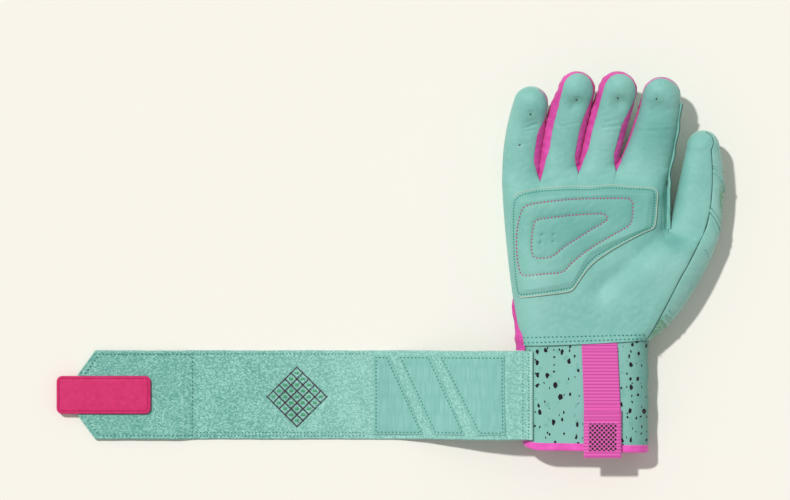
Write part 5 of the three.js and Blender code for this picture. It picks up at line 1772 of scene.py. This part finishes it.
# %% Tag
TAG_HALF, TAG_CORNER, TAG_BASE, TAG_ROW = np.array([26.95, 10.9]), 3.3, 3.6, 1.6
TAG_OVERHANG, TAG_STITCH_LIFT = 12, 2.25
TAG_MIDDLE = np.array([STRAP_X - END_RUN - TAG_OVERHANG + TAG_HALF[0], STRAP_Y])
TAG_INSETS = np.concatenate([[0.0, 0.05, 0.15, 0.3, 0.5, 0.8, 1.1, 1.3, 1.45, 1.6, 1.75, 1.9, 2.1, 2.4],
                             np.linspace(2.9, 10.9, 22)])


def tag_ring(inset, count=241):
    """One closed ring of the tag's plan at an inset from its outline."""
    corner, quarter = max(TAG_CORNER - inset, 0.0), np.linspace(0, np.pi / 2, 14)
    ring = []
    for index, ways in enumerate([(1, 1), (-1, 1), (-1, -1), (1, -1)]):
        angle = quarter + index * np.pi / 2
        ring.append(ways * (TAG_HALF - inset - corner) + corner * grid_of(np.cos(angle), np.sin(angle)))
    ring = np.concatenate(ring + [ring[0][:1]])
    run = run_along(ring)
    at = np.linspace(0, run[-1], count)
    return grid_of(np.interp(at, run, ring[:, 0]), np.interp(at, run, ring[:, 1]))


def make_tag():
    """Rings from the rim inwards, with the channel and a faintly crowned face."""
    plan, inset = np.array([tag_ring(inset) for inset in TAG_INSETS]), TAG_INSETS[:, None]
    face = 2.5 * roll_off(inset + 0.02, 0.8) ** 0.8 - 0.35 * bell(inset - TAG_ROW, 0.3)
    crown = 0.15 * (1 - (plan[..., 0] / TAG_HALF[0]) ** 2)
    x, y = np.moveaxis(plan + TAG_MIDDLE, -1, 0)
    top, low = (grid_of(x, y, z) for z in (TAG_BASE + face + crown * smooth(inset / 3), TAG_BASE))
    return shell_object("strap_tag_plate", top, low, 40)


tag = dress(make_tag(), "rose_rubber", "strap_tip", "rose_tag", "strap_tag")
print("tag", len(tag.data.polygons))

# %% [markdown]
# The strap's edges, its end panel, the patches and the tag are all sewn round. Rows are straight lines in
# # plan on the strap's own height.

# %% Rows of stitches on the strap
def strap_face(lift):
    """The strap's top over plan points, or a surface so much above it."""
    def surface(x, y):
        """Underside, thickness and lift."""
        return grid_of(x, y, underside(STRAP_X - x) + STRAP_THICK + lift)
    return surface


def along_strap(*places):
    """Plan points from pairs of a run along the strap and a height across it."""
    return [(STRAP_X - run, STRAP_Y + across) for run, across in places]


def across_face(spots, lift):
    """Points so much above the strap's top at plan points, and the normals there."""
    centres, normals = surface_frame(strap_face(0.0), spots)
    return centres + normals * lift, normals


PANEL_ROW = [(185.5, -END_ROW), (238.8, -END_ROW), (248.4, -9.8), (248.4, 9.8), (238.8, END_ROW),
             (185.5, END_ROW)]
FAR_STITCH, PANEL_STITCH, ANCHOR_STITCH, PATCH_STITCH = (
    (2.0, 1.2, 0.34), (2.2, 1.4, 0.4), (1.9, 1.3, 0.3), (2.1, 1.6, 0.44))
ROW_START, ROW_END, SECOND_ROW, ROW_SINK, PANEL_SINK, PATCH_FACE = 88, 183, 1.9, -0.1, -0.14, 0.65
for name, places, lift, stitch, body, closed, sink in (
        ("far_upper_stitches", [(ROW_START, FAR_ROW), (ROW_END, FAR_ROW)], 0.0, FAR_STITCH, FAR_BEND, False,
         ROW_SINK),
        ("far_lower_stitches", [(ROW_START, -FAR_ROW), (ROW_END, -FAR_ROW)], 0.0, FAR_STITCH, FAR_BEND, False,
         ROW_SINK),
        ("far_lower_second_stitches", [(ROW_START, -FAR_ROW + SECOND_ROW), (ROW_END, -FAR_ROW + SECOND_ROW)],
         0.0, FAR_STITCH, FAR_BEND, False, ROW_SINK),
        ("end_panel_stitches", PANEL_ROW, 0.25, PANEL_STITCH, TIP_BEND, True, PANEL_SINK),
        ("sewn_end_row_2", [(-2.6, NEAR_ROW), (-2.6, -NEAR_ROW)], 0.2, ANCHOR_STITCH, "hand", False,
         ROW_SINK),
        ("sewn_end_row_6", [(-6.0, NEAR_ROW), (-6.0, -NEAR_ROW)], 0.2, ANCHOR_STITCH, "hand", False,
         ROW_SINK)):
    sewn_row(name, along_strap(*places), strap_face(lift), *stitch, "strap_thread", body, "strap_elastic",
             closed, sink)
OVERLOCK_LINE, OVERLOCK_STEP, OVERLOCK_LEAN = ((-7.3, 24.6), (-7.3, -24.6)), 1.0, [1.0, 0.12, 0.0]
spots = resample(along_strap(*OVERLOCK_LINE), OVERLOCK_STEP)[0]
centres, normals = across_face(spots, 0.35)
sew("sewn_end_overlock", centres, OVERLOCK_LEAN, normals, 2.6, 0.42, "mint_thread", "hand", "strap_elastic")
for name, (upper, lower) in PATCHES.items():
    top = PATCH_HALF - PATCH_ROW
    corners = [(upper[0], top, 1), (upper[1], top, -1), (lower[1], -top, -1), (lower[0], -top, 1)]
    row = [(STRAP_X - FOLD_RUN * (1 - share) + way * PATCH_ROW, STRAP_Y + across)
           for share, across, way in corners]
    sewn_row(name + "_stitches", row, strap_face(PATCH_FACE), *PATCH_STITCH, "strap_thread", NEAR_BEND,
             "loop_fastener", True)
spots, along = resample(tag_ring(TAG_ROW)[:-1], 1.9, closed=True)
centres = grid_of(*(spots + TAG_MIDDLE).T, TAG_BASE + TAG_STITCH_LIFT)
sew("strap_tag_stitches", centres, grid_of(*along.T, 0.0), UP, 1.3, 0.28, "rose_thread", "strap_tip",
    "rose_tag")

# %% [markdown]
# The far run carries a plain piece of embroidery: a lattice of rhombi in dark thread with a leaf-green
# stitch in each opening.

# %% Embroidered lattice
LATTICE_MIDDLE, LATTICE_HALF, LATTICE_STEP = np.array([-163.5, -29.6]), 12.0, 4.8
LATTICE_WAYS = [np.array([1.0, 1.0]) / np.sqrt(2), np.array([-1.0, 1.0]) / np.sqrt(2)]
SATIN, THREAD_LIFT, KNOT_LIFT, KNOT_STEP = np.array([[0.8, 0.6], [-0.6, 0.8]]), 0.12, 0.1, 0.75


def lattice_threads():
    """All stitches of both families of slanted lines, leaning and overlapping like satin stitch."""
    rows = []
    for way, side in (LATTICE_WAYS, LATTICE_WAYS[::-1]):
        for offset in np.arange(-LATTICE_HALF, LATTICE_HALF + 0.1, LATTICE_STEP):
            middle = LATTICE_MIDDLE + side * offset
            rows.append(resample([middle - way * LATTICE_HALF, middle + way * LATTICE_HALF], 1.1))
    spots, ways = (np.concatenate(parts) for parts in zip(*rows))
    return spots, np.column_stack([ways @ SATIN, 0 * ways[:, 0]])


def lattice_knots():
    """Three short stitches in each opening of the lattice."""
    middles = np.arange(-LATTICE_HALF + LATTICE_STEP / 2, LATTICE_HALF, LATTICE_STEP)
    first, second = np.meshgrid(middles, middles)
    first, second = first.reshape(-1, 1), second.reshape(-1, 1)
    cells = LATTICE_MIDDLE + first * LATTICE_WAYS[0] + second * LATTICE_WAYS[1]
    return np.concatenate([cells + [shift, 0] for shift in (-KNOT_STEP, 0.0, KNOT_STEP)])


spots, ways = lattice_threads()
centres, normals = across_face(spots, THREAD_LIFT)
sew("lattice_threads", centres, ways, normals, 1.7, 0.42, "dark_thread", "strap_far", "strap_elastic")
centres, normals = across_face(lattice_knots(), KNOT_LIFT)
sew("lattice_knots", centres, [0.0, 1.0, 0.0], normals, 2.3, 0.4, "leaf_thread", "strap_far", "strap_elastic")
print("strap stitches and lattice done")


# %% [markdown]
# The photograph looks straight down, so the camera hangs high above the glove with a long lens. The floor
# is plain and pale, a little larger than any view needs. One lamp stands for the studio's main light: it is
# slightly soft and comes steeply from the upper left, so that shadows fall short and to the lower right. An
# even pale surround fills them in, and both together light a surface about as bright as its colour is
# written.

# %% Floor, light and camera
FRAME_WIDTH, CAMERA_HEIGHT, SENSOR = 0.4511, 4.0, 36.0
FLOOR_HALF, FLOOR_DROP, SUN_POWER, SUN_SPREAD, SUN_LEAN = 3.0, -0.0002, 2.22, 3, -21
FILL_LIGHT, SEEN_LIGHT, PAPER, SURROUND = 0.40, 0.93, (248, 245, 236), (254, 251, 250)
VIEW_MIDDLE = place([-107.52, 54.19, 0.0])


def make_floor():
    """A flat square of the background's colour under the glove."""
    mesh = bpy.data.meshes.new("floor")
    corners = [(x * FLOOR_HALF, y * FLOOR_HALF, 0) for x, y in ((-1, -1), (1, -1), (1, 1), (-1, 1))]
    mesh.from_pydata(corners, [], [(0, 1, 2, 3)])
    floor = bpy.data.objects.new("floor", mesh)
    floor.location.z = FLOOR_DROP
    bpy.context.scene.collection.objects.link(floor)
    paper = Finish("floor_paper", 0.95, specular=0.0)
    paper.shader.inputs["Base Color"].default_value = linear(PAPER)
    mesh.materials.append(paper.material)


def make_light():
    """A sun with a soft edge, turned from straight down towards the lower right, and an even surround."""
    lamp = bpy.data.lights.new("key_light", "SUN")
    lamp.energy, lamp.angle = SUN_POWER, radians(SUN_SPREAD)
    holder = bpy.data.objects.new("key_light", lamp)
    holder.rotation_euler = (radians(SUN_LEAN), radians(SUN_LEAN), 0)
    bpy.context.scene.collection.objects.link(holder)
    world = bpy.data.worlds.new("surround")
    world.use_nodes = True
    tree = world.node_tree
    ground = tree.nodes["Background"]
    camera_ray = add_node(tree, "LightPath", {}, "Is Camera Ray")
    glossy_ray = camera_ray.node.outputs["Is Glossy Ray"]
    seen = add_node(tree, "Math", {0: camera_ray, 1: glossy_ray}, operation="MAXIMUM")
    strength = add_node(tree, "MapRange", {"Value": seen, "To Min": FILL_LIGHT, "To Max": SEEN_LIGHT})
    tree.links.new(strength, ground.inputs["Strength"])
    ground.inputs["Color"].default_value = linear(SURROUND)
    bpy.context.scene.world = world


def make_camera():
    """A long lens straight above: focal length is sensor width times height over the frame's width."""
    lens = bpy.data.cameras.new("camera")
    lens.sensor_width = SENSOR
    lens.lens = SENSOR * CAMERA_HEIGHT / FRAME_WIDTH
    lens.clip_end = 20
    holder = bpy.data.objects.new("camera", lens)
    holder.location = (*VIEW_MIDDLE[:2], CAMERA_HEIGHT)
    bpy.context.scene.collection.objects.link(holder)
    bpy.context.scene.camera = holder
    return holder


make_floor()
make_light()
print("camera at", tuple(make_camera().location))
bpy.context.scene.view_settings.view_transform = "Standard"
